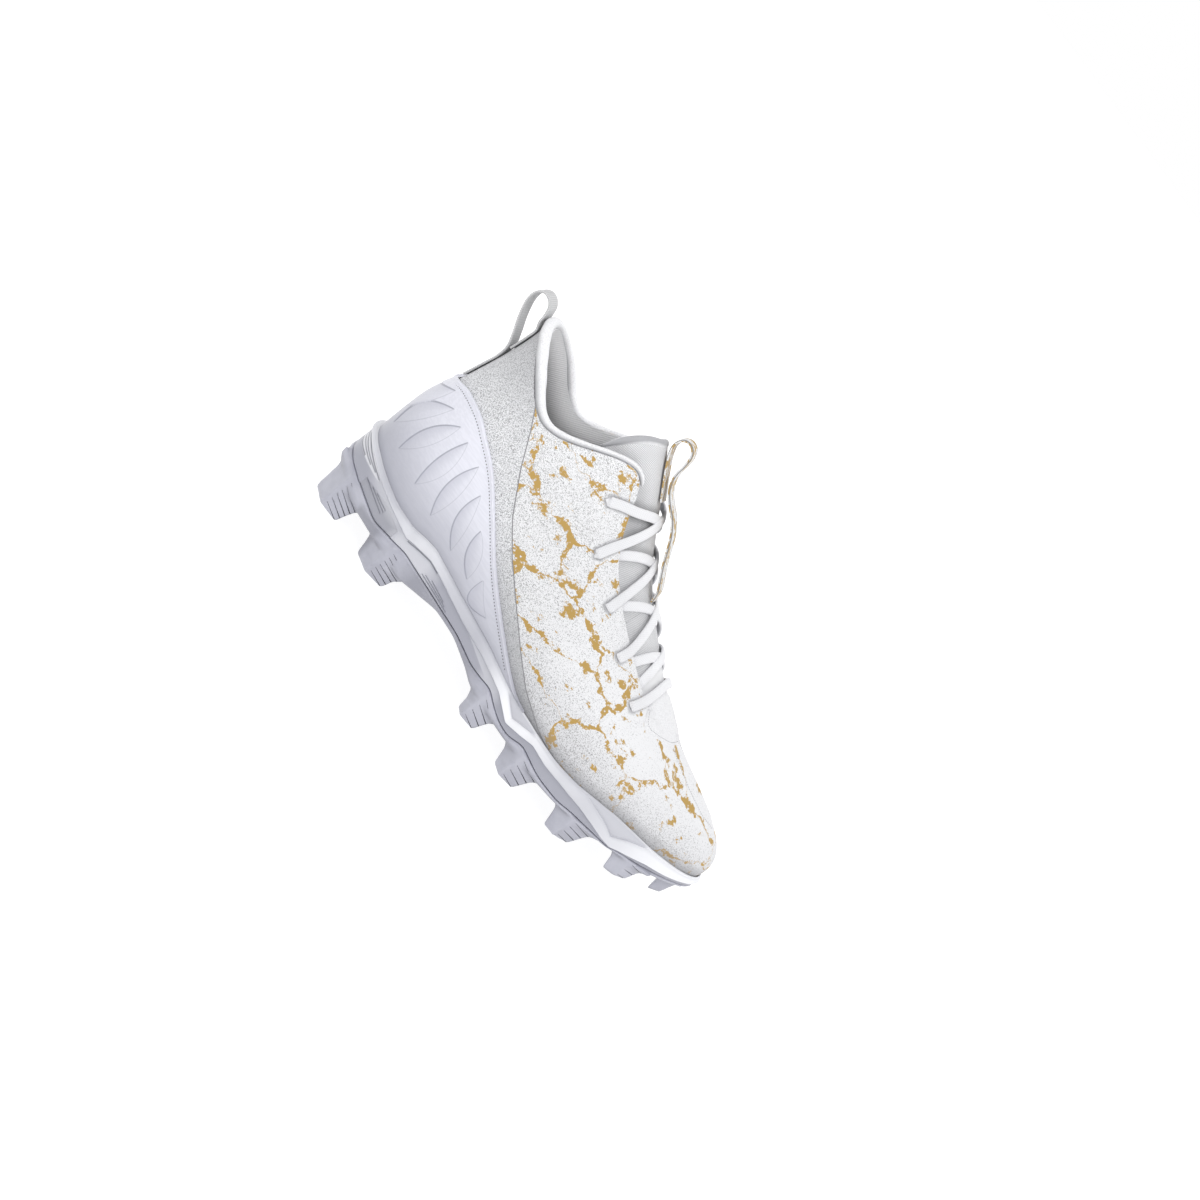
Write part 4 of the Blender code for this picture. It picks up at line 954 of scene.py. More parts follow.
def rimEdge(rib, side):
    third = rib * 3
    topShare = shareAt(rib, side, sideHeight("rim", third))
    away = outward(rib, side)
    inner = [upperPoint(rib, side, topShare * part) + away * soleForm["rimGap"] for part in (0, 0.5, 1)]
    inner[0] = withHeight(inner[0], inner[0][:, 2] - soleForm["seatGap"])
    return inner, away * sideHeight("flare", third)[:, None]


# Distance in millimetres on the wall to the nearest groove
def grooveGap(third, length, height):
    gap = np.full(height.shape, soleForm["far"])
    for line in wallGrooves:
        places = [np.array([np.interp(place, third, length), level]) for place, level in line]
        here = np.stack([length[:, None] + 0 * height, height], -1)
        for start, end in zip(places[:-1], places[1:]):
            gap = np.minimum(gap, segmentGap(here, start, end))
    return gap


# Rim with its bright strip, the facets over its dips, and the wall down to the parting line
def makeMidsole():
    size = soleForm
    rib, side = ringColumns(size["perRib"])
    third = rib * 3
    inner, away = rimEdge(rib, side)
    edge = inner[2]
    rim, strip, parting = (sideHeight(name, third) for name in ("rim", "strip", "parting"))
    facet = np.zeros_like(third)
    for start, low, end, drop in stripFacets:
        facet = np.maximum(facet, drop * np.clip(np.minimum((third - start) / (low - start),
                                                            (end - third) / (end - low)), 0, 1))
    stripTop = rim - size["stripTop"] - facet
    tone = np.interp(third, stripTone["third"], stripTone["tone"])
    rows, tints = list(inner), [*size["innerTints"][:2], tone * size["innerTints"][2]]

    def addRow(out, height, tint):
        rows.append(withHeight(edge + away * np.reshape(out, (-1, 1)), height))
        tints.append(tint)

    bared = np.clip(facet / size["bared"], 0, 1)
    for out, outFacet, drop, dropFacet, kept, bare in size["lipRows"]:
        first = size["lip"] + out + outFacet * facet
        tint = tone * kept
        addRow(first, rim - drop - dropFacet * facet, tint * (1 - bared) + bare * bared if bare else tint)
    low = np.minimum(strip, stripTop - size["stripLeast"])
    for part in size["stripParts"]:
        addRow(first + (size["stripOut"] - first) * part,
               stripTop + size["stripFrom"] + (low + size["stripTo"] - stripTop) * part, tone)
    for out, rise, kept, tint in size["footRows"]:
        addRow(out, low + rise, tone * kept + tint)
    wallTop = low - size["underDrop"]
    wallFrom = len(rows)
    drops = np.linspace(0, 1, size["wallRows"])
    height = wallTop[:, None] + (parting - wallTop)[:, None] * drops
    half = len(rib) // 2 + 1
    groove = np.full((len(rib), wallFrom), size["far"])
    wallGap = np.zeros((len(rib), len(drops)))
    wallGap[:half] = grooveGap(third[:half], lengthAlong(edge[:half]), height[:half])
    wallGap[half:] = wallGap[half - 2:0:-1]
    hollow = np.interp(third, *np.transpose(wallHollow), left=0, right=0)
    sunk = rising(height, hollow[:, None], -size["hollowSoft"])
    bevel = np.interp(third, *np.transpose(waistBevel), left=99, right=99)
    tinted = size["bevelTint"] * rising(height, bevel[:, None], size["bevelSoft"])
    tinted = np.maximum(tinted, np.interp(third, wallTone["third"], wallTone["tone"])[:, None])
    pale = rising(third, size["paleFrom"], size["paleSoft"]) * rising(third, size["paleTo"], -size["paleSoft"])
    tinted = np.maximum(tinted, size["paleTint"] * pale[:, None] * np.clip(1 - drops / size["paleDrop"], 0, 1))
    # painted highlight on the ridges between the heel's grooves
    ridgeHighlight = (third < size["ridgeEnd"])[:, None] * rising(height, size["ridgeLow"], size["ridgeSoft"])
    tinted = np.maximum(tinted, size["ridgePaintedHighlight"] * ridgeHighlight)
    for i, drop in enumerate(drops):
        hem = size["hemIn"] * rising(drop, size["hemFrom"], size["hemSpan"])
        out = size["wallOut"] + size["wallStep"] - hem - size["recess"] * sunk[:, i]
        out = out - size["groove"] * np.exp(-(wallGap[:, i] / size["grooveWidth"]) ** 2)
        addRow(out, height[:, i], tinted[:, i])
    addRow(size["wallOut"] - size["footIn"], parting, 0.0)
    points = np.stack(rows, 1)
    count = len(rows)
    faces = gridFaces(len(rib), count, True) + capFaces(len(rib), count, 0) + capFaces(len(rib), count, count - 1)
    piece = addPiece("midsoleRim", points, faces, ["soleRim"], sharp=0.6)
    tint = np.stack([np.broadcast_to(value, third.shape) for value in tints], 1)
    # painted shade in the hollow of the heel wall
    shade = np.zeros_like(tint)
    shade[:, wallFrom:-1] = sunk
    gap = np.concatenate([groove, wallGap, groove[:, :1]], 1)
    carryValues(piece.data, points.reshape(-1, 3), {"stripTint": tint, "wallShade": shade, "grooveGap": gap})
    return piece


def pointTree(points):
    tree = KDTree(len(points))
    for i, point in enumerate(placed(points)):
        tree.insert(point, i)
    tree.balance()
    return tree


# Places of the welded mesh's points in the grid that it was made from
def nearestOf(mesh, points):
    tree = pointTree(points)
    return np.array([tree.find(vertex.co)[1] for vertex in mesh.vertices])


def carryValues(mesh, points, layers):
    nearest = nearestOf(mesh, points)
    for name, values in layers.items():
        setAttribute(mesh, name, np.ravel(values)[nearest])


# Distance in millimetres to a line on the shoe, by which painted shade is laid on the finishes
def markGap(mesh, name, line):
    tree = pointTree(line)
    setAttribute(mesh, name, [tree.find(vertex.co)[2] / lastFrame["unit"] for vertex in mesh.vertices])


def soleRimLine():
    return rimEdge(*ringColumns(soleForm["perRib"]))[0][2]


midsole = makeMidsole()
# distances for the painted shade by the sole's rim on the upper and deep in its lining
markGap(upper.data, "rimGap", soleRimLine())
markGap(upper.data, "collarGap", topLine(*ringColumns(soleForm["perRib"])))
print("midsole", len(midsole.data.polygons))

# Studs of one side, rear to front: foot corners along x, inset of the foot's corners, depth across the sole,
# height of the foot, spread of the root, count of slits
studs = table("xRear xRidge xFront rearIn frontIn depth footRear footFront spreadRear spreadFront slits", [
    (6, 15.5, 28, 2.0, 4.0, 19, 0, 0, 2.0, 5.0, 6),
    (48, 58.5, 70, 6.0, 4.5, 20, 0, 0, 5.0, 5.0, 6),
    (143.5, 147.5, 157, 4.0, 3.0, 16, 0, 0, 3.5, 5.0, 4),
    (177.5, 183.5, 193, 4.5, 3.5, 17, 0, 0, 5.5, 6.0, 4),
    (217.5, 224.5, 232.5, 3.0, 3.0, 16, 2.0, 4.3, 5.0, 5.0, 4),
    (253.2, 259.7, 265.2, 1.5, 2.0, 14, 9.6, 12.8, 4.0, 2.5, 3),
])
toeStud = {
    "xRear": 277.0, "xFront": 282.5, "halfWidth": 9.0, "y": 6.5, "footRear": 12.0, "footFront": 16.2,
    "spread": 2.2}
outsoleForm = {
    "perRib": 12, "voxel": 0.00062, "smoothing": 5, "triangles": 150000, "ridgeOut": 0.8, "ridgeSpread": 1.4,
    "cornerSpread": 0.3, "innerSpread": 3.0, "innerTaper": 2.0, "rootShare": 0.8,
    # rows round the plate: step out from the rim, share of the way up to the parting
    "rows": [(1.1, 1.0), (2.4, 0.99), (2.95, 0.9), (3.2, 0.6), (2.7, 0.28), (1.9, 0.06), (0.4, 0.0)], "studRow": 5,
    # levels of a stud, and its flare into the plate
    "levels": (0, 0.06, 0.35, 0.6, 0.72, 0.8, 0.87, 0.93, 1.0), "fillet": 2.6, "flareDrop": 5.0, "flareMost": 1.15,
    "footRound": 0.05,
    "slitHeight": 0.62, "slitDepth": 0.85, "slitFrom": 0.10, "slitTo": 0.84, "slitDrop": 0.16, "slitShort": 0.17,
    "slitPast": 0.12, "slitNarrow": 0.3, "slitClear": 1.6, "slitShadeDepth": 0.6, "slitShadeReach": 0.5}


def plateRing():
    rib, side = ringColumns(outsoleForm["perRib"])
    inner, away = rimEdge(rib, side)
    parting, under = sideHeight("parting", rib * 3) - soleForm["seatGap"], sideHeight("under", rib * 3)
    return rib, side, [withHeight(inner[2] + away * out, under + (parting - under) * share)
                       for out, share in outsoleForm["rows"]]


def soleEdgeY(x, side, ring, ringSide, half):
    chosen = np.where(ringSide == side)[0] if side == medial else np.arange(half + 1)
    order = chosen[np.argsort(ring[chosen, 0])]
    return side * abs(float(np.interp(x, ring[order, 0], ring[order, 1])))


def makeOutsole():
    size = outsoleForm
    rib, side, rows = plateRing()
    count, half = len(rib), len(rib) // 2
    points = np.stack(rows, 1)
    faces = gridFaces(count, len(rows), True) + capFaces(count, len(rows), 0)
    faces += capFaces(count, len(rows), len(rows) - 1)
    under = withHeight(rows[-1], sideHeight("under", rib * 3))
    ring = rows[size["studRow"]]
    thirds, ringX = (rib * 3)[:half + 1], under[:half + 1, 0]

    def levelAt(x, name):
        return np.interp(np.interp(x, ringX, thirds), soleSide["third"], soleSide[name])

    def addStud(foot, root, flares):
        low, high = levelAt(root[:, 0], "under"), levelAt(root[:, 0], "parting")
        root[:, 2] = low + (high - low) * size["rootShare"]
        parts.append(studLoft(foot, root, low, flares))

    parts, slits = [(points.reshape(-1, 3), faces)], []
    for way in (lateral, medial):
        for i in range(len(studs["xRear"])):
            row = {name: column[i] for name, column in studs.items()}
            xs = np.array([row["xRear"], row["xRidge"], row["xFront"]])
            ys = [soleEdgeY(x, way, ring, side, half) for x in xs]
            innerY = ys[1] - way * row["depth"]
            foot = np.array([
                (xs[0], ys[0] - way * row["rearIn"], 0), (xs[1], ys[1] + way * size["ridgeOut"], 0),
                (xs[2], ys[2] - way * row["frontIn"], 0), (xs[2] - size["innerTaper"], innerY, 0),
                (xs[0] + size["innerTaper"], innerY, 0)], float)
            foot[:, 2] = np.interp(foot[:, 0], xs[[0, 2]], (row["footRear"], row["footFront"]))
            root = foot.copy()
            rear, front = row["spreadRear"], row["spreadFront"]
            root[:, 0] += np.array([-rear, 0, front, front, -rear])
            spread = [size[name] for name in ("cornerSpread", "ridgeSpread", "cornerSpread")]
            root[:, 1] += way * np.array(spread + [-size["innerSpread"]] * 2)
            addStud(foot, root, (1, 0, 1, 1, 1))
            slits.extend(studSlits(foot, root, int(row["slits"])))
    foot, root = [], []
    for x, z, way in ((toeStud["xRear"], toeStud["footRear"], -1), (toeStud["xFront"], toeStud["footFront"], 1)):
        for across in (way, -way):
            foot.append((x, toeStud["y"] + across * toeStud["halfWidth"], z))
            reach = toeStud["halfWidth"] + toeStud["spread"]
            root.append((x + way * toeStud["spread"], toeStud["y"] + across * reach, 0))
    addStud(np.array(foot), np.array(root, float), (1, 1, 1, 1))
    piece = addPiece("outsolePlate", *joinParts(parts), ["soleShell"])
    fuseShell(piece)
    cutAway(piece, addPiece("slitCutters", *joinParts([slit[:2] for slit in slits]), ["soleShell"]), "MANIFOLD")
    points = meshPoints(piece.data)
    # painted shade in the slits
    shade = np.zeros(len(points))
    for _, _, start, end, away in slits:
        deep = away * size["slitDepth"]
        level = np.abs((points - (start + end) / 2) @ away + size["slitDepth"])
        near = level < size["slitDepth"] * size["slitShadeDepth"]
        shade[near & (segmentGap(points, start - deep, end - deep) < size["slitShadeReach"])] = 1
    setAttribute(piece.data, "slitShade", shade)
    setAttribute(piece.data, "underShade", underShade(piece.data, points))
    shadeSmooth(piece.data, 0.75)
    return piece


# Painted shade under the sole: gain and start by the way that a face looks; starts and spans along x or z; depths
shadeForm = {
    "gain": 1.6, "start": 0.1, "clear": (3, 3), "waist": ((66, 12), (142, -12)), "waistDepth": 0.75,
    "frontLow": (14, -6), "frontDepth": 0.5, "heel": ((29, 3), (51, -4)), "heelLow": (21.5, -3),
    "heelDepth": 0.85}


# Painted shade: dimmer under the plate, along the waist, on the front faces of the studs and between those of the
# heel
def underShade(mesh, points):
    size = shadeForm
    x, z = points[:, 0], points[:, 2]
    normal = readAll(mesh.vertices, "normal")
    turned, front = (np.clip(size["gain"] * look - size["start"], 0, 1) for look in (-normal[:, 2], normal[:, 0]))
    waist, heel = (rising(x, *start) * rising(x, *end) for start, end in (size["waist"], size["heel"]))
    return np.max([turned * rising(z, *size["clear"]), size["waistDepth"] * waist,
                   size["frontDepth"] * front * rising(z, *size["frontLow"]),
                   size["heelDepth"] * heel * rising(z, *size["heelLow"])], 0)


# Levels of a stud from its foot to its root, flaring into the plate near the root
def studLoft(foot, root, under, flares):
    size = outsoleForm
    away = (root - root.mean(0)) * (1, 1, 0)
    away = unitOf(away)
    rows = []
    for level in size["levels"]:
        row = foot + (root - foot) * level
        reach = np.clip((row[:, 2] - (under - size["flareDrop"])) / size["flareDrop"], 0, size["flareMost"])
        flare = size["fillet"] * reach ** 3 * np.array(flares)
        rows.append(row + away * flare[:, None])
    rows[0] = rows[0] + (foot.mean(0) - foot) * size["footRound"]
    points = np.stack(rows, 1)
    count = len(rows)
    faces = gridFaces(len(foot), count, True)
    faces += [[c * count + end for c in range(len(foot))] for end in (0, count - 1)]
    return points.reshape(-1, 3), faces


# Fine slits across the front face of a stud, falling from its ridge to its front edge
def studSlits(foot, root, count):
    size = outsoleForm
    ridgeLow, ridgeHigh, frontLow, frontHigh = foot[1], root[1], foot[2], root[2]
    away = np.cross(frontLow - ridgeLow, ridgeHigh - ridgeLow)
    away *= np.sign(away @ (ridgeLow - foot.mean(0))) / np.linalg.norm(away)
    parts = []
    for level in np.linspace(size["slitFrom"], size["slitTo"], count):
        start = ridgeLow + (ridgeHigh - ridgeLow) * (level + size["slitDrop"] / 2)
        end = frontLow + (frontHigh - frontLow) * (level - size["slitDrop"] / 2)
        run, edge = end - start, end
        start, end = start + run * size["slitShort"], end + run * size["slitPast"]
        rise = np.cross(away, run)
        rise *= size["slitHeight"] / 2 / np.linalg.norm(rise)
        narrow = rise * size["slitNarrow"]
        low = np.array([start + narrow, end + rise, end - rise, start - narrow]) + away * size["slitClear"]
        high = low - away * (size["slitClear"] + size["slitDepth"])
        faces = [[0, 1, 2, 3], [7, 6, 5, 4]] + [[i, (i + 1) % 4, 4 + (i + 1) % 4, 4 + i] for i in range(4)]
        parts.append((np.vstack([low, high]), faces, start, edge, away))
    return parts


# Plate and studs fused into one moulding with softened inside corners
def fuseShell(piece):
    size = outsoleForm
    remesh = piece.modifiers.new("fuse", "REMESH")
    remesh.mode = "VOXEL"
    remesh.voxel_size = size["voxel"]
    soft = piece.modifiers.new("soften", "SMOOTH")
    soft.factor, soft.iterations = 0.5, size["smoothing"]
    applyAll(piece)
    count = sum(len(face.vertices) - 2 for face in piece.data.polygons)
    thin = piece.modifiers.new("thin", "DECIMATE")
    thin.ratio = min(1.0, size["triangles"] / count)
    applyAll(piece)
    print("outsole fused", count, "to", len(piece.data.polygons))


outsole = makeOutsole()
print("outsole", len(outsole.data.polygons))

counterTop = table("third z", [
    (0, 91.0), (3, 95.8), (5, 98.6), (8, 98.6), (10, 94.4), (12, 87.0), (14, 75.0), (16, 62.0),
    (18, 51.7), (21, 39.4), (22.4, 34.0), (23.4, 31.0), (24.4, 29.9)])
heelCounter = {
    "perRib": 32, "bodyRows": 96, "lift": 1.5, "foot": 0.15, "clear": 0.35, "least": 0.5, "leafDepth": 0.6,
    "leafSoft": 0.4, "leafPower": 1.3, "leafReach": (-5, 9), "bulge": 2.2, "bulgeHeight": 76.0,
    "bulgeSpread": 15, "bulgeEnd": 1.8,
    # rows over the bead round its edge: drop from the top and lift off the upper
    "bead": [(0, 0.1), (0.15, 0.9), (0.45, 1.75), (0.8, 2.15), (1.2, 2.15), (1.6, 1.85), (2.0, 1.55), (2.4, 1.5),
             (3.0, 1.5)]}
# Leaves pressed into the counter, in the side view: tip, end, and a place on the rear and on the front edge
counterLeaves = [((14.0, 92.5), (0.5, 57.5), (4.6, 83.0), (8.6, 72.5)),
                 ((21.6, 88.2), (6.5, 54.2), (12.0, 80.7), (15.7, 71.0)),
                 ((31.2, 87.2), (19.5, 51.7), (21.3, 73.7), (29.1, 68.5)),
                 ((39.3, 86.3), (39.2, 49.2), (35.9, 66.6), (45.1, 65.4)),
                 ((52.3, 83.5), (57.0, 46.3), (48.9, 68.6), (58.6, 60.6)),
                 ((64.5, 75.9), (77.8, 44.2), (64.4, 60.2), (72.7, 62.1)),
                 ((78.7, 64.7), (94.4, 42.6), (81.6, 52.7), (88.5, 58.5)),
                 ((99.6, 51.0), (116.6, 40.0), (99.3, 43.4), (107.7, 44.7))]


# How far inside the leaves a place lies, how far from the rear edge, and its share of the way to the front edge
def leafPlaces(points):
    flat = points[..., [0, 2]]
    within, behind, share = (np.full(flat.shape[:-1], value) for value in (-9.0, 9.0, 1.0))
    for tip, end, rear, front in counterLeaves:
        tip = np.array(tip)
        run = np.array(end) - tip
        length = np.linalg.norm(run)
        run = run / length
        side = np.array([-run[1], run[0]])
        along = ((flat - tip) @ run) / length
        edges = []
        for place in (rear, front):
            part = ((np.array(place) - tip) @ run) / length
            bow = ((np.array(place) - tip) @ side) / (part * (1 - part))
            edges.append(bow * along * (1 - along))
        across = (flat - tip) @ side
        fromRear, fromFront = across - edges[0], edges[1] - across
        inside = np.where((along > 0) & (along < 1), np.minimum(fromRear, fromFront), -9.0)
        chosen = inside > within
        within = np.where(chosen, inside, within)
        behind = np.where(chosen, fromRear, behind)
        share = np.where(chosen, np.clip(fromRear / np.maximum(edges[1] - edges[0], 0.1), 0, 1), share)
    return within, behind, share


# Film shell over the heel, with a bead round its edge and the pressed leaves
def makeCounter():
    size = heelCounter
    rib, side = archColumns(size["perRib"], counterTop["third"][-1])
    third = rib * 3
    low = sideHeight("rim", third) + size["clear"]
    high = np.interp(third, *smoothTable(counterTop["third"], counterTop["z"]))
    tall = np.maximum(high - low, size["least"])
    rows = [high - np.minimum(drop, tall / 2) for drop, _ in size["bead"]]
    start = rows[-1]
    rows += [start + (low - start) * part for part in np.linspace(0, 1, size["bodyRows"])[1:]] + [low]
    height = np.stack(rows, 1)
    lift = np.full(height.shape, size["lift"])
    lift[:, :len(size["bead"])] = [rise for _, rise in size["bead"]]
    lift[:, -1] = size["foot"]
    ribGrid, sideGrid = (np.broadcast_to(column[:, None], height.shape) for column in (rib, side))
    share = shareAt(ribGrid, sideGrid, height)
    base, normal = upperPoint(ribGrid, sideGrid, share), upperNormal(ribGrid, sideGrid, share)
    bulge = np.exp(-((height - size["bulgeHeight"]) / size["bulgeSpread"]) ** 2)
    lift += size["bulge"] * bulge * np.clip(1 - ribGrid / size["bulgeEnd"], 0, 1)
    within, behind, across = leafPlaces(base)
    depth = np.clip(within / size["leafSoft"], 0, 1) * (1 - across) ** size["leafPower"]
    points = base + normal * (lift - size["leafDepth"] * depth)[..., None]
    faces = [face[::-1] for face in gridFaces(len(rib), height.shape[1], False)]
    piece = addPiece("heelCounter", points, faces, ["counterFilm"], sharp=1.2, shell=True)
    within, behind = (np.clip(gap, *size["leafReach"]) for gap in (within, behind))
    layers = {"leafWithin": within, "leafBehind": behind, "leafAcross": across}
    carryValues(piece.data, points.reshape(-1, 3), layers)
    # distance for the painted shade by the sole's rim
    markGap(piece.data, "rimGap", soleRimLine())
    return piece


def smoothTable(places, values, count=240):
    fine = np.linspace(places[0], places[-1], count)
    curve = smoothPath(np.stack([places, values], -1), count)
    return fine, np.interp(fine, curve[:, 0], curve[:, 1])


counter = makeCounter()
print("counter", len(counter.data.polygons))

collarForm = table("third halfHeight halfWidth", [
    (0, 2.9, 3.0), (6, 3.0, 3.1), (9, 2.9, 3.0), (12, 2.0, 2.4), (15, 1.5, 1.9), (20, 1.2, 1.6)])
collarRoll = {
    "perRib": 22, "sides": 24, "power": 2.2, "gap": 0.35, "endSteps": 5, "shadeFrom": -0.35,
    "shadeSpan": 1.2,
    # puckers: depth, pitch, second wave's share and pitch, share of the height
    "pucker": 0.12, "pitch": 1.9, "second": 0.6, "secondPitch": 2.7, "tallShare": 0.4}


# Padded roll on the collar's edge, softly puckered along its length, with painted shade on its lower half
def makeCollar():
    size = collarRoll
    rib, side = archColumns(size["perRib"], collarForm["third"][-1])
    tall, wide = (np.interp(rib * 3, collarForm["third"], collarForm[name]) for name in ("halfHeight", "halfWidth"))
    edge, away = upperPoint(rib, side, 1), upperNormal(rib, side, 1)
    up = unitOf(np.cross(away, np.gradient(edge, axis=0)))
    up *= np.sign(up[:, 2:])
    turn = lengthAlong(edge) / size["pitch"]
    wave = size["pucker"] * (np.sin(turn) + size["second"] * np.sin(turn / size["secondPitch"]))
    path = edge - away * upperShell["wall"] / 2 + up * (tall + size["gap"])[:, None]
    ends = roundedEnds(len(rib), size["endSteps"])
    points, faces = tubeAlong(path, up, (wide + wave) * ends, (tall + wave * size["tallShare"]) * ends,
                              size["sides"], size["power"])
    piece = addPiece("collarRoll", points, faces, ["collarKnit"], sharp=1.5)
    # painted shade on the lower half of the roll
    shade = rising(-np.sin(roundAngles(size["sides"])), size["shadeFrom"], size["shadeSpan"])
    carryValues(piece.data, points, {"rollShade": np.tile(shade, len(path))})
    return piece


collar = makeCollar()
print("collar", len(collar.data.polygons))

tongueCrown = table("rib crown", [
    (7, 9.2), (7.5, 13.2), (8, 15.4), (8.5, 15.0), (9, 12.0), (9.5, 9.5), (10, 8.5), (11, 6.2),
    (12, 2.6), (13, -1.8), (13.34, -2.4)])
tongueTop = table("x y z halfWidth sag", [
    (105.8, 3.4, 152.0, 22.5, 9.0), (101.4, 2.6, 156.6, 24.5, 13.5), (98.6, 2.0, 159.4, 25.2, 17.0)])
tonguePad = {
    "inset": 2.7, "fill": 0.7, "round": 2.2, "y": 4.0, "thick": 3.2, "steps": 15, "rows": 96,
    "columns": 60, "across": np.array([-1.0, -0.8, -0.55, -0.28, 0.0, 0.28, 0.55, 0.8, 1.0]),
    "wing": (0.9, 0.96), "topWing": (1.06, 1.03), "smoothFrom": 187.0, "smoothSpan": 2.0, "edgeRound": 1.3,
    "edgeSegments": 3, "edgeAngle": 1.0,
    # fall of the top edge beside its middle: share of the sag and power of the spread
    "fall": {lateral: (1.25, 4), medial: (1.6, 2)}}


def tonguePoint(rib, across):
    size = tonguePad
    edges = [upperPoint(rib, side, 1) - upperNormal(rib, side, 1) * size["inset"] for side in (lateral, medial)]
    crown = np.interp(rib, tongueCrown["rib"], tongueCrown["crown"])
    part = (across + 1) / 2
    rise = (crown + size["inset"] * size["fill"]) * (1 - abs(across) ** size["round"])
    return edges[0] * (1 - part) + edges[1] * part + np.array([0, 0, 1.0]) * rise


def topEdge(spread, x, y, z, half, sag):
    fall = np.zeros_like(spread)
    for side, (share, power) in tonguePad["fall"].items():
        fall = np.where(spread * side > 0, share * np.abs(spread) ** power, fall)
    return np.stack([x - spread ** 2 * sag, y + spread * half, z - fall * sag], -1)


# Padded tongue: mesh on top, smooth cloth toward its foot under the throat's end
def makeTongue():
    size = tonguePad
    rows = []
    for rib in np.linspace(tongueCrown["rib"][-1], tongueCrown["rib"][0], size["steps"]):
        row = []
        for side, shares in ((lateral, size["wing"]), (medial, size["wing"][::-1])):
            row.extend(upperPoint(rib, side, s) - upperNormal(rib, side, s) * size["inset"] for s in shares)
            if side == lateral:
                row.extend(tonguePoint(rib, across) for across in size["across"])
        rows.append(row)
    wings = np.array(size["topWing"])
    spread = np.concatenate([-wings, size["across"], wings[::-1]])
    rows.extend(topEdge(spread, *row) for row in zip(*tongueTop.values()))
    grid = smoothPath(np.array(rows, float), size["rows"])
    grid = smoothPath(grid.transpose(1, 0, 2), size["columns"]).transpose(1, 0, 2)
    faces = [face[::-1] for face in gridFaces(size["rows"], size["columns"], False)]
    piece = addPiece("tonguePad", grid, faces, ["tongueMesh"], shell=True)
    middle = size["columns"] // 2
    length = lengthAlong(grid[:, middle])
    width = np.cumsum(np.linalg.norm(np.diff(grid, axis=1, prepend=grid[:, :1]), axis=2), axis=1)
    width -= width[:, middle][:, None]
    flat = np.stack([np.broadcast_to(length[:, None], width.shape), width], -1).reshape(-1, 2) * lastFrame["unit"]
    layUv(piece.data, "tongueUv", grid.reshape(-1, 3), flat)
    thick = piece.modifiers.new("wall", "SOLIDIFY")
    thick.thickness = size["thick"] * lastFrame["unit"]
    thick.offset = -1
    thick.use_even_offset = False
    soft = piece.modifiers.new("edge", "BEVEL")
    soft.width, soft.segments = size["edgeRound"] * lastFrame["unit"], size["edgeSegments"]
    soft.limit_method, soft.angle_limit = "ANGLE", size["edgeAngle"]
    applyAll(piece)
    smooth = rising(meshPoints(piece.data)[:, 0], size["smoothFrom"], size["smoothSpan"])
    setAttribute(piece.data, "smoothCloth", smooth)
    shadeSmooth(piece.data, 1.5)
    return piece


# A UV layer from values known at the grid's points
def layUv(mesh, name, points, flat):
    nearest = nearestOf(mesh, points)
    corners = np.empty(len(mesh.loops), np.int32)
    mesh.loops.foreach_get("vertex_index", corners)
    mesh.uv_layers.new(name=name).data.foreach_set("uv", flat[nearest[corners]].ravel().astype(np.float32))


tongue = makeTongue()
print("tongue", len(tongue.data.polygons))

tongueRim = {
    "halfWidth": 2.3, "halfHeight": 1.8, "sides": 16, "power": 2.2, "places": 17, "steps": 90,
    "endSteps": 6, "back": 1.5, "down": 0.6, "lean": 0.7, "shadeFrom": 0.2, "shadeSpan": 0.5, "shade": 0.85}


# Padded edge sewn along the tongue's top, just behind its face, with painted shade on its back and top
def makeTongueRim():
    size = tongueRim
    path = topEdge(np.linspace(-1, 1, size["places"]), *(column[-1] for column in tongueTop.values()))
    path = smoothPath(path - (size["back"], 0, size["down"]), size["steps"])
    ends = roundedEnds(size["steps"], size["endSteps"])
    up = np.tile([size["lean"], 0, size["lean"]], (size["steps"], 1))
    points, faces = tubeAlong(path, up, size["halfWidth"] * ends, size["halfHeight"] * ends, size["sides"],
                              size["power"])
    piece = addPiece("tongueRim", points, faces, ["collarKnit"], sharp=1.5)
    # painted shade on the back and top of the edge
    angle = roundAngles(size["sides"])
    behind = rising(size["lean"] * (np.sin(angle) - np.cos(angle)), size["shadeFrom"], size["shadeSpan"])
    carryValues(piece.data, points, {"rollShade": np.tile(size["shade"] * behind, len(path))})
    return piece


# Smooth padded tab where the tongue is sewn in at the foot of the throat: outline in plan, lateral half
throatTab = {
    "outline": [(199.5, 4.0), (199.8, -8.0), (201.0, -16.5), (205.0, -23.0), (209.0, -24.2),
                (213.0, -21.0), (218.4, -14.0), (223.4, -5.5), (225.6, 4.0)],
    "centre": (211.0, 4.0), "rings": 14, "spokes": 96, "lift": 0.45, "dome": 1.9, "sink": 0.7,
    "easing": 150, "ringShare": 0.3, "skirt": 0.25, "peak": 0.05, "castFrom": 200.0}


def surfaceHeight(trees, x, y):
    start, down = Vector(placed((x, y, throatTab["castFrom"]))), Vector((0, 0, -1))
    hits = [tree.ray_cast(start, down)[0] for tree in trees]
    return max(hit.z / lastFrame["unit"] for hit in hits if hit is not None)


def meshTree(mesh):
    return BVHTree.FromPolygons([v.co for v in mesh.vertices], [list(f.vertices) for f in mesh.polygons])


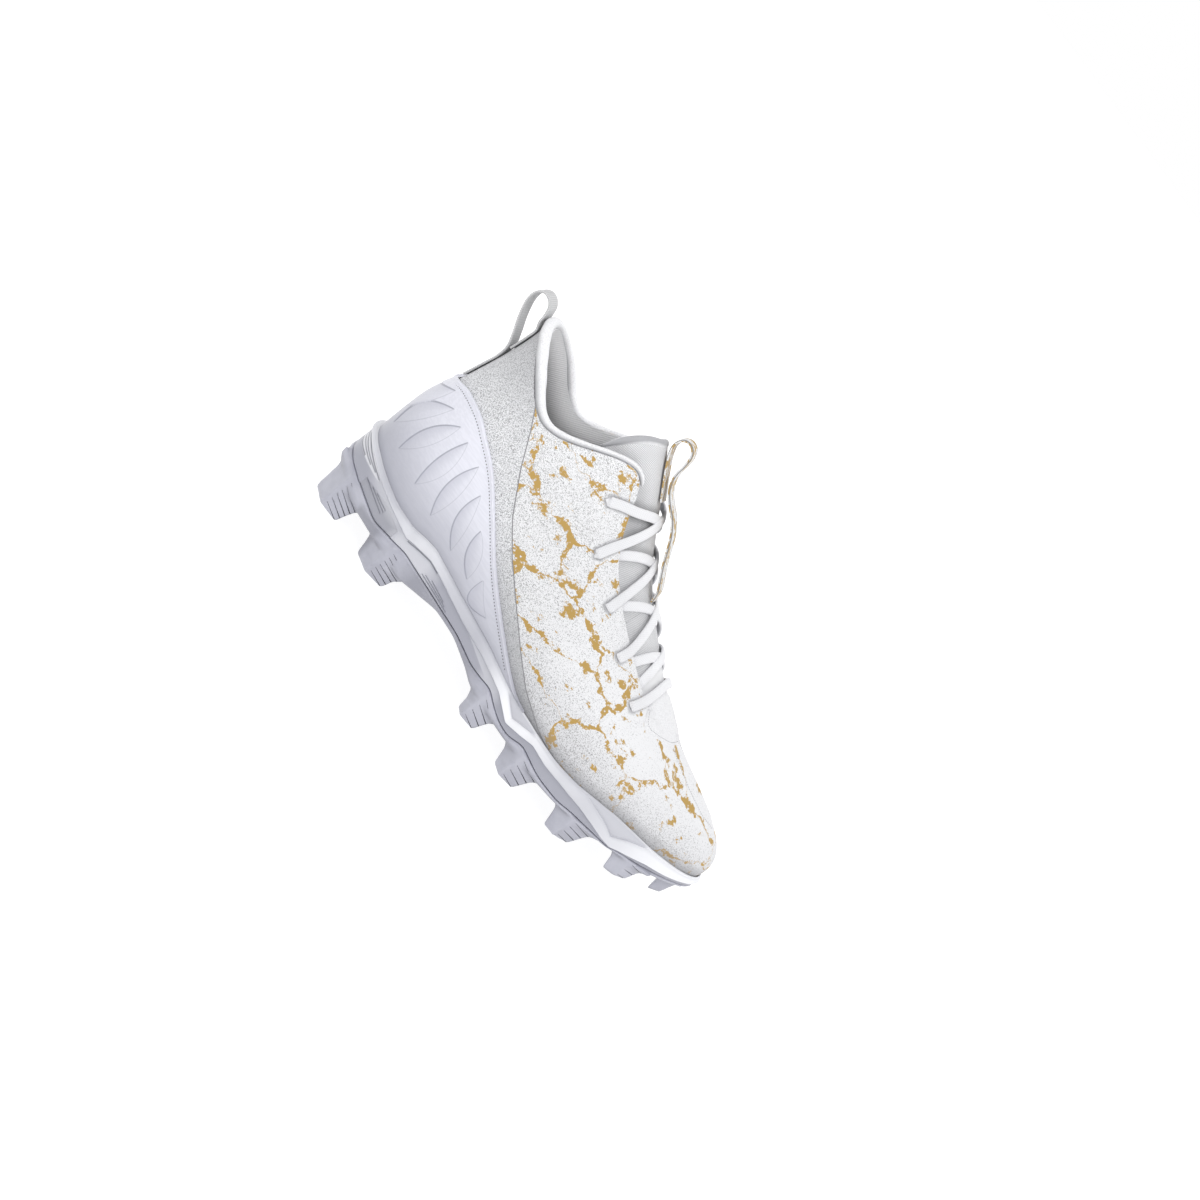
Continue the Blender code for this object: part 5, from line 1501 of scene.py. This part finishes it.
def makeThroatTab():
    size = throatTab
    half = smoothPath(size["outline"], size["spokes"] // 2 + 1)
    centre = np.array(size["centre"])
    outline = np.vstack([half, half[-2:0:-1] * (1, -1) + (0, 2 * centre[1])])
    trees = [meshTree(upper.data), meshTree(tongue.data)]
    radius = np.linspace(0.0, 1.0, size["rings"])[1:]
    flat = centre + (outline - centre)[:, None] * radius[None, :, None]
    ground = np.array([[surfaceHeight(trees, *place) for place in spoke] for spoke in flat])
    level = ground.copy()
    # the cloth spans the notch like a skin held at its outline
    for _ in range(size["easing"]):
        ring = (np.roll(level, 1, 0) + np.roll(level, -1, 0)) / 2
        inner = np.concatenate([np.full((len(level), 1), level[:, 0].mean()), level[:, :-1]], 1)
        across = (inner[:, :-1] + level[:, 1:]) / 2
        level[:, :-1] = size["ringShare"] * ring[:, :-1] + (1 - size["ringShare"]) * across
    level[:, :-1] = np.maximum(level[:, :-1], ground[:, :-1])
    level += size["lift"] + size["dome"] * (1 - radius ** 2)
    points = np.concatenate([flat, level[..., None]], -1)
    edge = points[:, -1:]
    skirt = edge + (edge - points[:, -2:-1]) * size["skirt"] - (0, 0, size["sink"] + size["lift"])
    points = np.concatenate([points, skirt], 1)
    rows, top = points.shape[1], points.shape[0] * points.shape[1]
    faces = gridFaces(len(outline), rows, True)
    faces += [[((c + 1) % len(outline)) * rows, c * rows, top] for c in range(len(outline))]
    peak = [[*centre, level[:, 0].mean() + size["peak"]]]
    piece = addPiece("throatTab", np.vstack([points.reshape(-1, 3), peak]), faces, ["collarKnit"], 1.5, shell=True)
    if piece.data.polygons[-1].normal.z < 0:
        piece.data.flip_normals()
    return piece, points[:, -3] + (0, 0, size["peak"])


rimOfTongue = makeTongueRim()
tabOfThroat, tabEdge = makeThroatTab()
print("tongue rim and tab", len(rimOfTongue.data.polygons), len(tabOfThroat.data.polygons))


# Tubes joined in one piece, each with its length along u and its girth along v
def addTubes(name, tubes, sides, uvName, finish, sharp=1.2):
    parts, flats = [], []
    for path, up, halfWidth, halfHeight, power in tubes:
        tubePoints, tubeFaces = tubeAlong(path, up, halfWidth, halfHeight, sides, power)
        parts.append((tubePoints, tubeFaces))
        length = lengthAlong(path)
        around = lengthAlong(np.vstack([tubePoints[:sides], tubePoints[:1]]))
        around -= around[-1] / 2
        for column in range(len(path) - 1):
            for r in range(sides):
                flats.extend([(length[column], around[r]), (length[column], around[r + 1]),
                              (length[column + 1], around[r + 1]), (length[column + 1], around[r])])
        for end in (0, len(path) - 1):
            flats.extend([(length[end], around[r]) for r in range(sides)])
    points, faces = joinParts(parts)
    mesh = bpy.data.meshes.new(name)
    mesh.from_pydata(placed(points).tolist(), [], faces)
    flats = np.array(flats) * lastFrame["unit"]
    mesh.uv_layers.new(name=uvName).data.foreach_set("uv", flats.ravel().astype(np.float32))
    work = bmesh.new()
    work.from_mesh(mesh)
    bmesh.ops.recalc_face_normals(work, faces=work.faces)
    work.to_mesh(mesh)
    work.free()
    mesh.materials.append(finishes[finish])
    shadeSmooth(mesh, sharp)
    return linkObject(name, mesh)


tongueStrap = {"path": [
    (119.7, 139.6), (114.6, 144.8), (108.6, 151.0), (103.0, 157.6), (100.4, 163.0), (101.2, 167.6), (104.2, 169.8),
    (108.0, 169.2), (110.8, 166.0), (112.2, 161.0), (112.9, 155.6), (114.6, 151.0), (117.4, 147.2), (121.0, 144.2),
    (125.2, 141.8), (129.8, 139.4), (134.0, 136.2), (137.8, 132.4), (141.2, 128.0), (144.6, 123.4), (148.2, 119.0),
    (151.8, 114.9), (155.6, 110.6)],
    "endRib": 9.45, "endGap": 1.1, "steps": 170, "width": 11.0, "thick": 1.3, "sides": 24, "power": 7.0}
heelStrap = {
    "foot": 96.5, "sewn": 117.0, "sewnSteps": 4, "end": 125.0, "steps": 130, "gap": 0.85, "backDrop": 4,
    "width": 15.0, "thick": 1.3,
    "loop": [(9.0, 124.2), (5.4, 131.0), (0.5, 138.6), (-3.4, 147.0), (-3.7, 152.8),
             (-1.0, 156.3), (3.2, 156.4), (6.7, 153.8), (8.6, 149.4), (9.6, 145.2)]}


def strapTube(path, y, width, thick):
    run = unitOf(np.gradient(path, axis=0))
    up = np.stack([-run[:, 1], np.zeros(len(path)), run[:, 0]], -1)
    middle = np.stack([path[:, 0], np.full(len(path), y), path[:, 1]], -1)
    return middle, up, width / 2, thick / 2, tongueStrap["power"]


def makeTongueStrap():
    size = tongueStrap
    end = tonguePoint(size["endRib"], 0)[[0, 2]] + size["endGap"]
    path = smoothPath(np.vstack([size["path"], end]), size["steps"])
    return addTubes("tongueStrap", [strapTube(path, tonguePad["y"], size["width"], size["thick"])],
                    size["sides"], "ribbonUv", "tongueWebbing")


def makeHeelStrap():
    size = heelStrap
    onHeel = []
    for ends in ((size["foot"], size["sewn"]), (size["loop"][-1][1] - size["backDrop"], size["end"])):
        height = np.linspace(*ends, size["sewnSteps"])
        rib = np.zeros_like(height)
        heel = upperPoint(rib, lateral, shareAt(rib, lateral, height))
        onHeel.append(np.stack([heel[:, 0] - size["gap"], height], -1))
    path = smoothPath(np.vstack([onHeel[0], size["loop"], onHeel[1]]), size["steps"])
    return addTubes("heelStrap", [strapTube(path, 0.0, size["width"], size["thick"])], tongueStrap["sides"],
                    "ribbonUv", "heelWebbing")


strapOnTongue, strapOnHeel = makeTongueStrap(), makeHeelStrap()
print("straps", len(strapOnTongue.data.polygons), len(strapOnHeel.data.polygons))

laceForm = {
    "halfWidth": 2.75, "halfHeight": 1.05, "power": 2.6, "sides": 20, "steps": 120, "clear": 0.3, "overTongue": 9,
    "onUpper": 4, "upperFrom": 0.32, "leave": 0.72, "stop": 0.74, "lift": 2.6, "easing": 4,
    "crossLift": {lateral: 1.9, medial: 0.2},
    # an end that goes under the far edge sinks into the padding there: place across and height
    "sink": [(0.88, 0.55), (0.98, -0.45), (1.06, -1.0)],
    # way up through a hole: place out of it and toward the throat, and the lace's upper side likewise
    "hole": [((-3.2, -0.6), (0, 1)), ((-0.9, -1.3), (0.5, 0.5)), ((0.9, -0.2), (0.8, -0.6))],
    # shades: starts and spans, and depths
    "under": (0.1, 0.6), "underDepth": 0.5, "beneath": ((2.0, 3), (13.0, -3)), "beneathEnd": (158.0, -4),
    "beneathDepth": 0.8, "ends": (10, 22), "endDepth": 0.12}


def laceOverTongue(ribFrom, ribTo, side, ends, lifts, dives, bow):
    size = laceForm
    parts = np.linspace(ends[0], ends[1], size["overTongue"])
    base = size["clear"] + size["halfHeight"]
    places = [(part, base + np.interp(part, (ends[0], 0, ends[1]), lifts)) for part in parts]
    if dives[0]:
        places = [(-part, height) for part, height in size["sink"][::-1]] + places
    if dives[1]:
        places = places + size["sink"]
    path = []
    for part, height in places:
        rib = ribFrom + (ribTo - ribFrom) * (part + 1) / 2 + bow * max(0, 1 - part ** 2)
        across = side * -part
        ahead = tonguePoint(rib - slope, across) - tonguePoint(rib + slope, across)
        sideways = tonguePoint(rib, across + slope) - tonguePoint(rib, across - slope)
        away = unitOf(np.cross(sideways, ahead))
        path.append((tonguePoint(rib, across) + away * height, away))
    return path


# From inside the hole, up through it and over the upper to the throat's edge
def laceOnUpper(row, side):
    size = laceForm
    centre, normal = eyeletPlace(row, side)
    toward = upperPoint(lacing["over"][row], side, 1) - centre
    toward = unitOf(toward - normal * (toward @ normal))
    path = [(centre + normal * deep + toward * back, normal * rise + toward * run)
            for (deep, back), (rise, run) in size["hole"]]
    for part in np.linspace(size["upperFrom"], 1, size["onUpper"]):
        rib = lacing["rib"][row] * (1 - part) + lacing["over"][row] * part
        share = lacing["share"][row] * (1 - part) + part
        away = upperNormal(rib, side, share)
        path.append((upperPoint(rib, side, share) + away * (size["clear"] + size["halfHeight"]), away))
    return path


def laceTube(path):
    size = laceForm
    points = np.array([point for point, _ in path])
    for _ in range(size["easing"]):
        points[3:-3] = (points[2:-4] + 2 * points[3:-3] + points[4:-2]) / 4
    middle = smoothPath(points, size["steps"])
    up = smoothPath([away for _, away in path], size["steps"])
    return middle, up, size["halfWidth"], size["halfHeight"], size["power"]


def makeLaces():
    size = laceForm
    last = len(lacing["rib"]) - 1
    tubes = []
    for row in range(last):
        leavesOver, landsOver = row + 1 < last, row == 0
        leave = lacing["over" if leavesOver else "under"][row + 1]
        land = lacing["over" if landsOver else "under"][row]
        for side in (lateral, medial):
            ends = (-size["leave"] if leavesOver else -size["stop"], size["leave"] if landsOver else size["stop"])
            lifts = (size["lift"] * leavesOver, size["crossLift"][side], size["lift"] * landsOver)
            dives = (not leavesOver, not landsOver)
            path = laceOverTongue(leave, land, side, ends, lifts, dives, lacing["bow"][row])
            if leavesOver:
                path = laceOnUpper(row + 1, side) + path
            if landsOver:
                path = path + laceOnUpper(row, -side)[::-1]
            tubes.append(laceTube(path))
    rib = lacing["over"][last]
    lifts = (size["lift"], size["crossLift"][medial], size["lift"])
    path = laceOverTongue(rib, rib, lateral, (-size["leave"], size["leave"]), lifts, (False, False), 0)
    tubes.append(laceTube(laceOnUpper(last, lateral) + path + laceOnUpper(last, medial)[::-1]))
    piece = addTubes("laceRuns", tubes, size["sides"], "laceUv", "laceBraid", sharp=1.5)
    setAttribute(piece.data, "laceShade", laceShade(piece.data, len(tubes)))
    return piece


# Shade on the underside, under the tongue's ribbon and down toward the holes
def laceShade(mesh, count):
    size = laceForm
    x, y = meshPoints(mesh)[:, :2].T
    under = np.tile(rising(-np.sin(roundAngles(size["sides"])), *size["under"]), size["steps"] * count)
    beneath = np.prod([rising(y, *edge) for edge in size["beneath"]], 0) * rising(x, *size["beneathEnd"])
    ends = rising(np.abs(y - tonguePad["y"]), *size["ends"])
    return np.max([size["underDepth"] * under, size["beneathDepth"] * beneath, size["endDepth"] * ends], 0)


laces = makeLaces()
# distances for the painted shade beside the laces, on the upper and the tongue
for piece in (upper, tongue):
    markGap(piece.data, "laceGap", meshPoints(laces.data)[::3])
print("laces", len(laces.data.polygons))

insoleBed = {"perRib": 8, "across": 17, "thick": 4.0, "inset": 2.7, "dish": 1.2, "dishPower": 0.7}


# Footbed filling the floor of the shoe, a little dished
def makeInsole():
    size = insoleBed
    rib = np.arange(toeRib * size["perRib"] + 1) / size["perRib"]
    edges = []
    for side in (lateral, medial):
        share = shareAt(rib, np.full(len(rib), side), seatLine(rib, side)[:, 2] + size["thick"])
        edges.append(upperPoint(rib, side, share) - outward(rib, side) * size["inset"])
    part = (1 - np.cos(np.linspace(0, pi, size["across"]))) / 2
    top = edges[0][:, None] * (1 - part)[None, :, None] + edges[1][:, None] * part[None, :, None]
    top[..., 2] -= size["dish"] * np.sin(pi * part) ** size["dishPower"]
    low = withHeight(top, seatLine(rib, lateral)[:, 2][:, None])
    count = size["across"]
    faces = gridFaces(len(rib), count, False)
    start = len(rib) * count
    faces += [[start + i for i in face] for face in faces]
    for c in range(len(rib) - 1):
        for r in (0, count - 1):
            faces.append((c * count + r, (c + 1) * count + r, start + (c + 1) * count + r, start + c * count + r))
    return addPiece("insoleBed", np.concatenate([top, low]), faces, ["footbed"])


insole = makeInsole()
print("insole", len(insole.data.polygons))


# Rows of stitches along a path, as one tree
def stitchTree():
    tree = bpy.data.node_groups.new("stitchRow", "GeometryNodeTree")
    tree.is_modifier = True
    tree.interface.new_socket("Geometry", in_out="INPUT", socket_type="NodeSocketGeometry")
    for label in ("Pitch", "Length", "Width"):
        tree.interface.new_socket(label, in_out="INPUT", socket_type="NodeSocketFloat")
    tree.interface.new_socket("Thread", in_out="INPUT", socket_type="NodeSocketMaterial")
    tree.interface.new_socket("Geometry", in_out="OUTPUT", socket_type="NodeSocketGeometry")
    given = addNode("NodeGroupInput", tree=tree).outputs
    curve = addNode("GeometryNodeMeshToCurve", {"Mesh": given["Geometry"]}).outputs[0]
    spaced = addNode("GeometryNodeResampleCurve", {"Curve": curve, "Length": given["Pitch"]},
                     mode="LENGTH").outputs[0]
    tangent = addNode("GeometryNodeInputTangent", tree=tree).outputs[0]
    turn = addNode("FunctionNodeAlignRotationToVector", {"Vector": tangent}, axis="X").outputs[0]
    grain = addNode("GeometryNodeMeshUVSphere", {"Segments": 7, "Rings": 5, "Radius": 0.5}, tree).outputs[0]
    scale = addNode("ShaderNodeCombineXYZ", {"X": given["Length"], "Y": given["Width"], "Z": given["Width"]})
    rows = addNode("GeometryNodeInstanceOnPoints", {"Points": spaced, "Instance": grain, "Rotation": turn,
                                                    "Scale": scale.outputs[0]}).outputs[0]
    real = addNode("GeometryNodeRealizeInstances", {"Geometry": rows}).outputs[0]
    soft = addNode("GeometryNodeSetShadeSmooth", {"Geometry": real}).outputs[0]
    dressed = addNode("GeometryNodeSetMaterial", {"Geometry": soft, "Material": given["Thread"]}).outputs[0]
    addNode("NodeGroupOutput", {"Geometry": dressed})
    return tree


stitching = stitchTree()


def addStitches(name, paths, pitch, length, width, thread):
    points, edges = [], []
    for path in paths:
        start = len(points)
        points.extend(placed(path).tolist())
        edges.extend((i, i + 1) for i in range(start, len(points) - 1))
    mesh = bpy.data.meshes.new(name)
    mesh.from_pydata(points, edges, [])
    piece = linkObject(name, mesh)
    change = piece.modifiers.new("stitches", "NODES")
    change.node_group = stitching
    sizes = {"Pitch": pitch, "Length": length, "Width": width}
    values = {"Thread": finishes[thread], **{label: size * lastFrame["unit"] for label, size in sizes.items()}}
    for item in stitching.interface.items_tree:
        if item.in_out == "INPUT" and item.name in values:
            change[item.identifier] = values[item.name]
    applyAll(piece)
    return piece


# Stitch rows: inside the counter's edge, round the tab, across the tongue at the ribbon's end, and down the vamp
stitchRows = {
    "counterInset": 3.2, "counterLift": 1.55, "counterThirds": (1.2, 21.6, 160),
    "counterSizes": (1.7, 0.9, 0.5), "throatSizes": (1.3, 0.8, 0.36),
    "tabSpan": slice(14, -12), "tongueRib": 9.55, "tongueLift": 0.25, "tongueAcross": (-0.9, 0.9, 40),
    "vampSteps": 80, "vampLift": 0.05,
    "vampLines": [[(226, -4.0), (235, -3.6), (246, -3.0), (254.5, -1.6), (262.5, 0.2), (271, 5.0)],
                  [(226, 12.0), (235, 11.8), (246, 11.6), (256, 11.4), (266, 10.6)]]}


def counterStitches():
    size = stitchRows
    third = np.linspace(*size["counterThirds"])
    rib = third / 3
    height = np.interp(third, *smoothTable(counterTop["third"], counterTop["z"])) - size["counterInset"]
    paths = []
    for side in (lateral, medial):
        share = shareAt(rib, np.full(len(rib), side), height)
        paths.append(upperPoint(rib, side, share) + upperNormal(rib, side, share) * size["counterLift"])
    return addStitches("counterStitches", paths, *size["counterSizes"], "darkThread")


def throatStitches():
    size = stitchRows
    acrossTongue = [tonguePoint(size["tongueRib"], across) + (0, 0, size["tongueLift"])
                    for across in np.linspace(*size["tongueAcross"])]
    paths = [tabEdge[size["tabSpan"]], np.array(acrossTongue)]
    trees = [meshTree(upper.data)]
    for line in size["vampLines"]:
        places = smoothPath(line, size["vampSteps"])
        paths.append(np.array([(x, y, surfaceHeight(trees, x, y) + size["vampLift"]) for x, y in places]))
    return addStitches("throatStitches", paths, *size["throatSizes"], "paleThread")


edgeStitches, tabStitches = counterStitches(), throatStitches()
print("stitches", len(edgeStitches.data.polygons), len(tabStitches.data.polygons))

dressing = [
    (upper, ("upper",), "knit_print"), (midsole, ("midsole",), "sole_rim"), (outsole, ("outsole",), "sole_shell"),
    (counter, ("heel_counter",), "counter_film"), (collar, ("collar_roll",), "collar_knit"),
    (tongue, ("tongue",), "tongue_mesh"), (strapOnTongue, ("tongue_strap",), "webbing"),
    (strapOnHeel, ("heel_strap",), "webbing"), (insole, ("insole",), "footbed"),
    (laces, tuple(f"lace_crossing_{row}" for row in range(1, 5)) + ("lace_bar",), "lace"),
    (edgeStitches, (), "counter_film"), (tabStitches, (), "knit_print"), (rimOfTongue, (), "tongue_mesh"),
    (tabOfThroat, (), "tongue_mesh"),
]
for piece, nodes, slot in dressing:
    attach(piece, "root")
    if nodes:
        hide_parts(*nodes)
print("pieces dressed", len(dressing))

studio = {
    "floor": (0.30, 0.30, 0.30), "floorGlow": 0.88, "floorSize": 40.0, "behind": 1.0, "front": 0.33,
    "turn": 0.5,
    # overhead soft light: strength, spread in degrees, lean toward the viewer and toward the toe
    "overhead": (1.65, 60.0, 40.0, 10.0),
    # light from the toe's side: place, aim, size, watts
    "toeSide": ((1.2, -0.6, 0.9), (0.05, 0, 0.05), 0.7, 1.0),
    # narrow light down into the collar: place, aim, cone in degrees, softness, watts
    "well": ((-0.095, -0.42, 0.78), (-0.085, 0.022, 0.118), 9.0, 0.05, 11.0)}


def makeStudio():
    mesh = bpy.data.meshes.new("studioFloor")
    half = studio["floorSize"] / 2
    mesh.from_pydata([(-half, -half, 0), (half, -half, 0), (half, half, 0), (-half, half, 0)], [], [(0, 1, 2, 3)])
    floor = linkObject("studioFloor", mesh)
    finish = newFinish("studioFloor", {"Roughness": 0.9, "Base Color": (*studio["floor"], 1),
                                       "Emission Color": (1, 1, 1, 1), "Emission Strength": studio["floorGlow"]})[0]
    mesh.materials.append(finish)
    # white sweep behind the shoe, dimmer room in front of it
    world = bpy.data.worlds.new("studioWorld")
    world.use_nodes = True
    tree = world.node_tree
    way = splitOf(addNode("ShaderNodeTexCoord", tree=tree).outputs["Generated"])
    level = addNode("ShaderNodeMapRange", {
        "Value": way["Y"], "From Min": -studio["turn"], "From Max": studio["turn"],
        "To Min": studio["front"], "To Max": studio["behind"]}).outputs[0]
    tree.links.new(level, tree.nodes["Background"].inputs["Strength"])
    tree.nodes["Background"].inputs["Color"].default_value = (1, 1, 1, 1)
    bpy.context.scene.world = world
    strength, spread, leanSide, leanToe = studio["overhead"]
    data = bpy.data.lights.new("overhead", "SUN")
    data.energy, data.angle = strength, radians(spread)
    linkObject("overhead", data).rotation_euler = (radians(leanSide), radians(leanToe), 0)
    place, aim, size, watts = studio["toeSide"]
    data = bpy.data.lights.new("toeSide", "AREA")
    data.energy, data.size = watts, size
    aimLight("toeSide", data, place, aim)
    place, aim, cone, softness, watts = studio["well"]
    data = bpy.data.lights.new("well", "SPOT")
    data.energy, data.spot_size, data.spot_blend, data.shadow_soft_size = watts, radians(cone), 1.0, softness
    aimLight("well", data, place, aim)
    bpy.context.scene.view_settings.view_transform = "Standard"


def aimLight(name, data, place, aim):
    turn = (Vector(place) - Vector(aim)).to_track_quat("Z", "Y").to_matrix().to_4x4()
    linkObject(name, data).matrix_world = Matrix.Translation(place) @ turn


makeStudio()
print("studio lit")
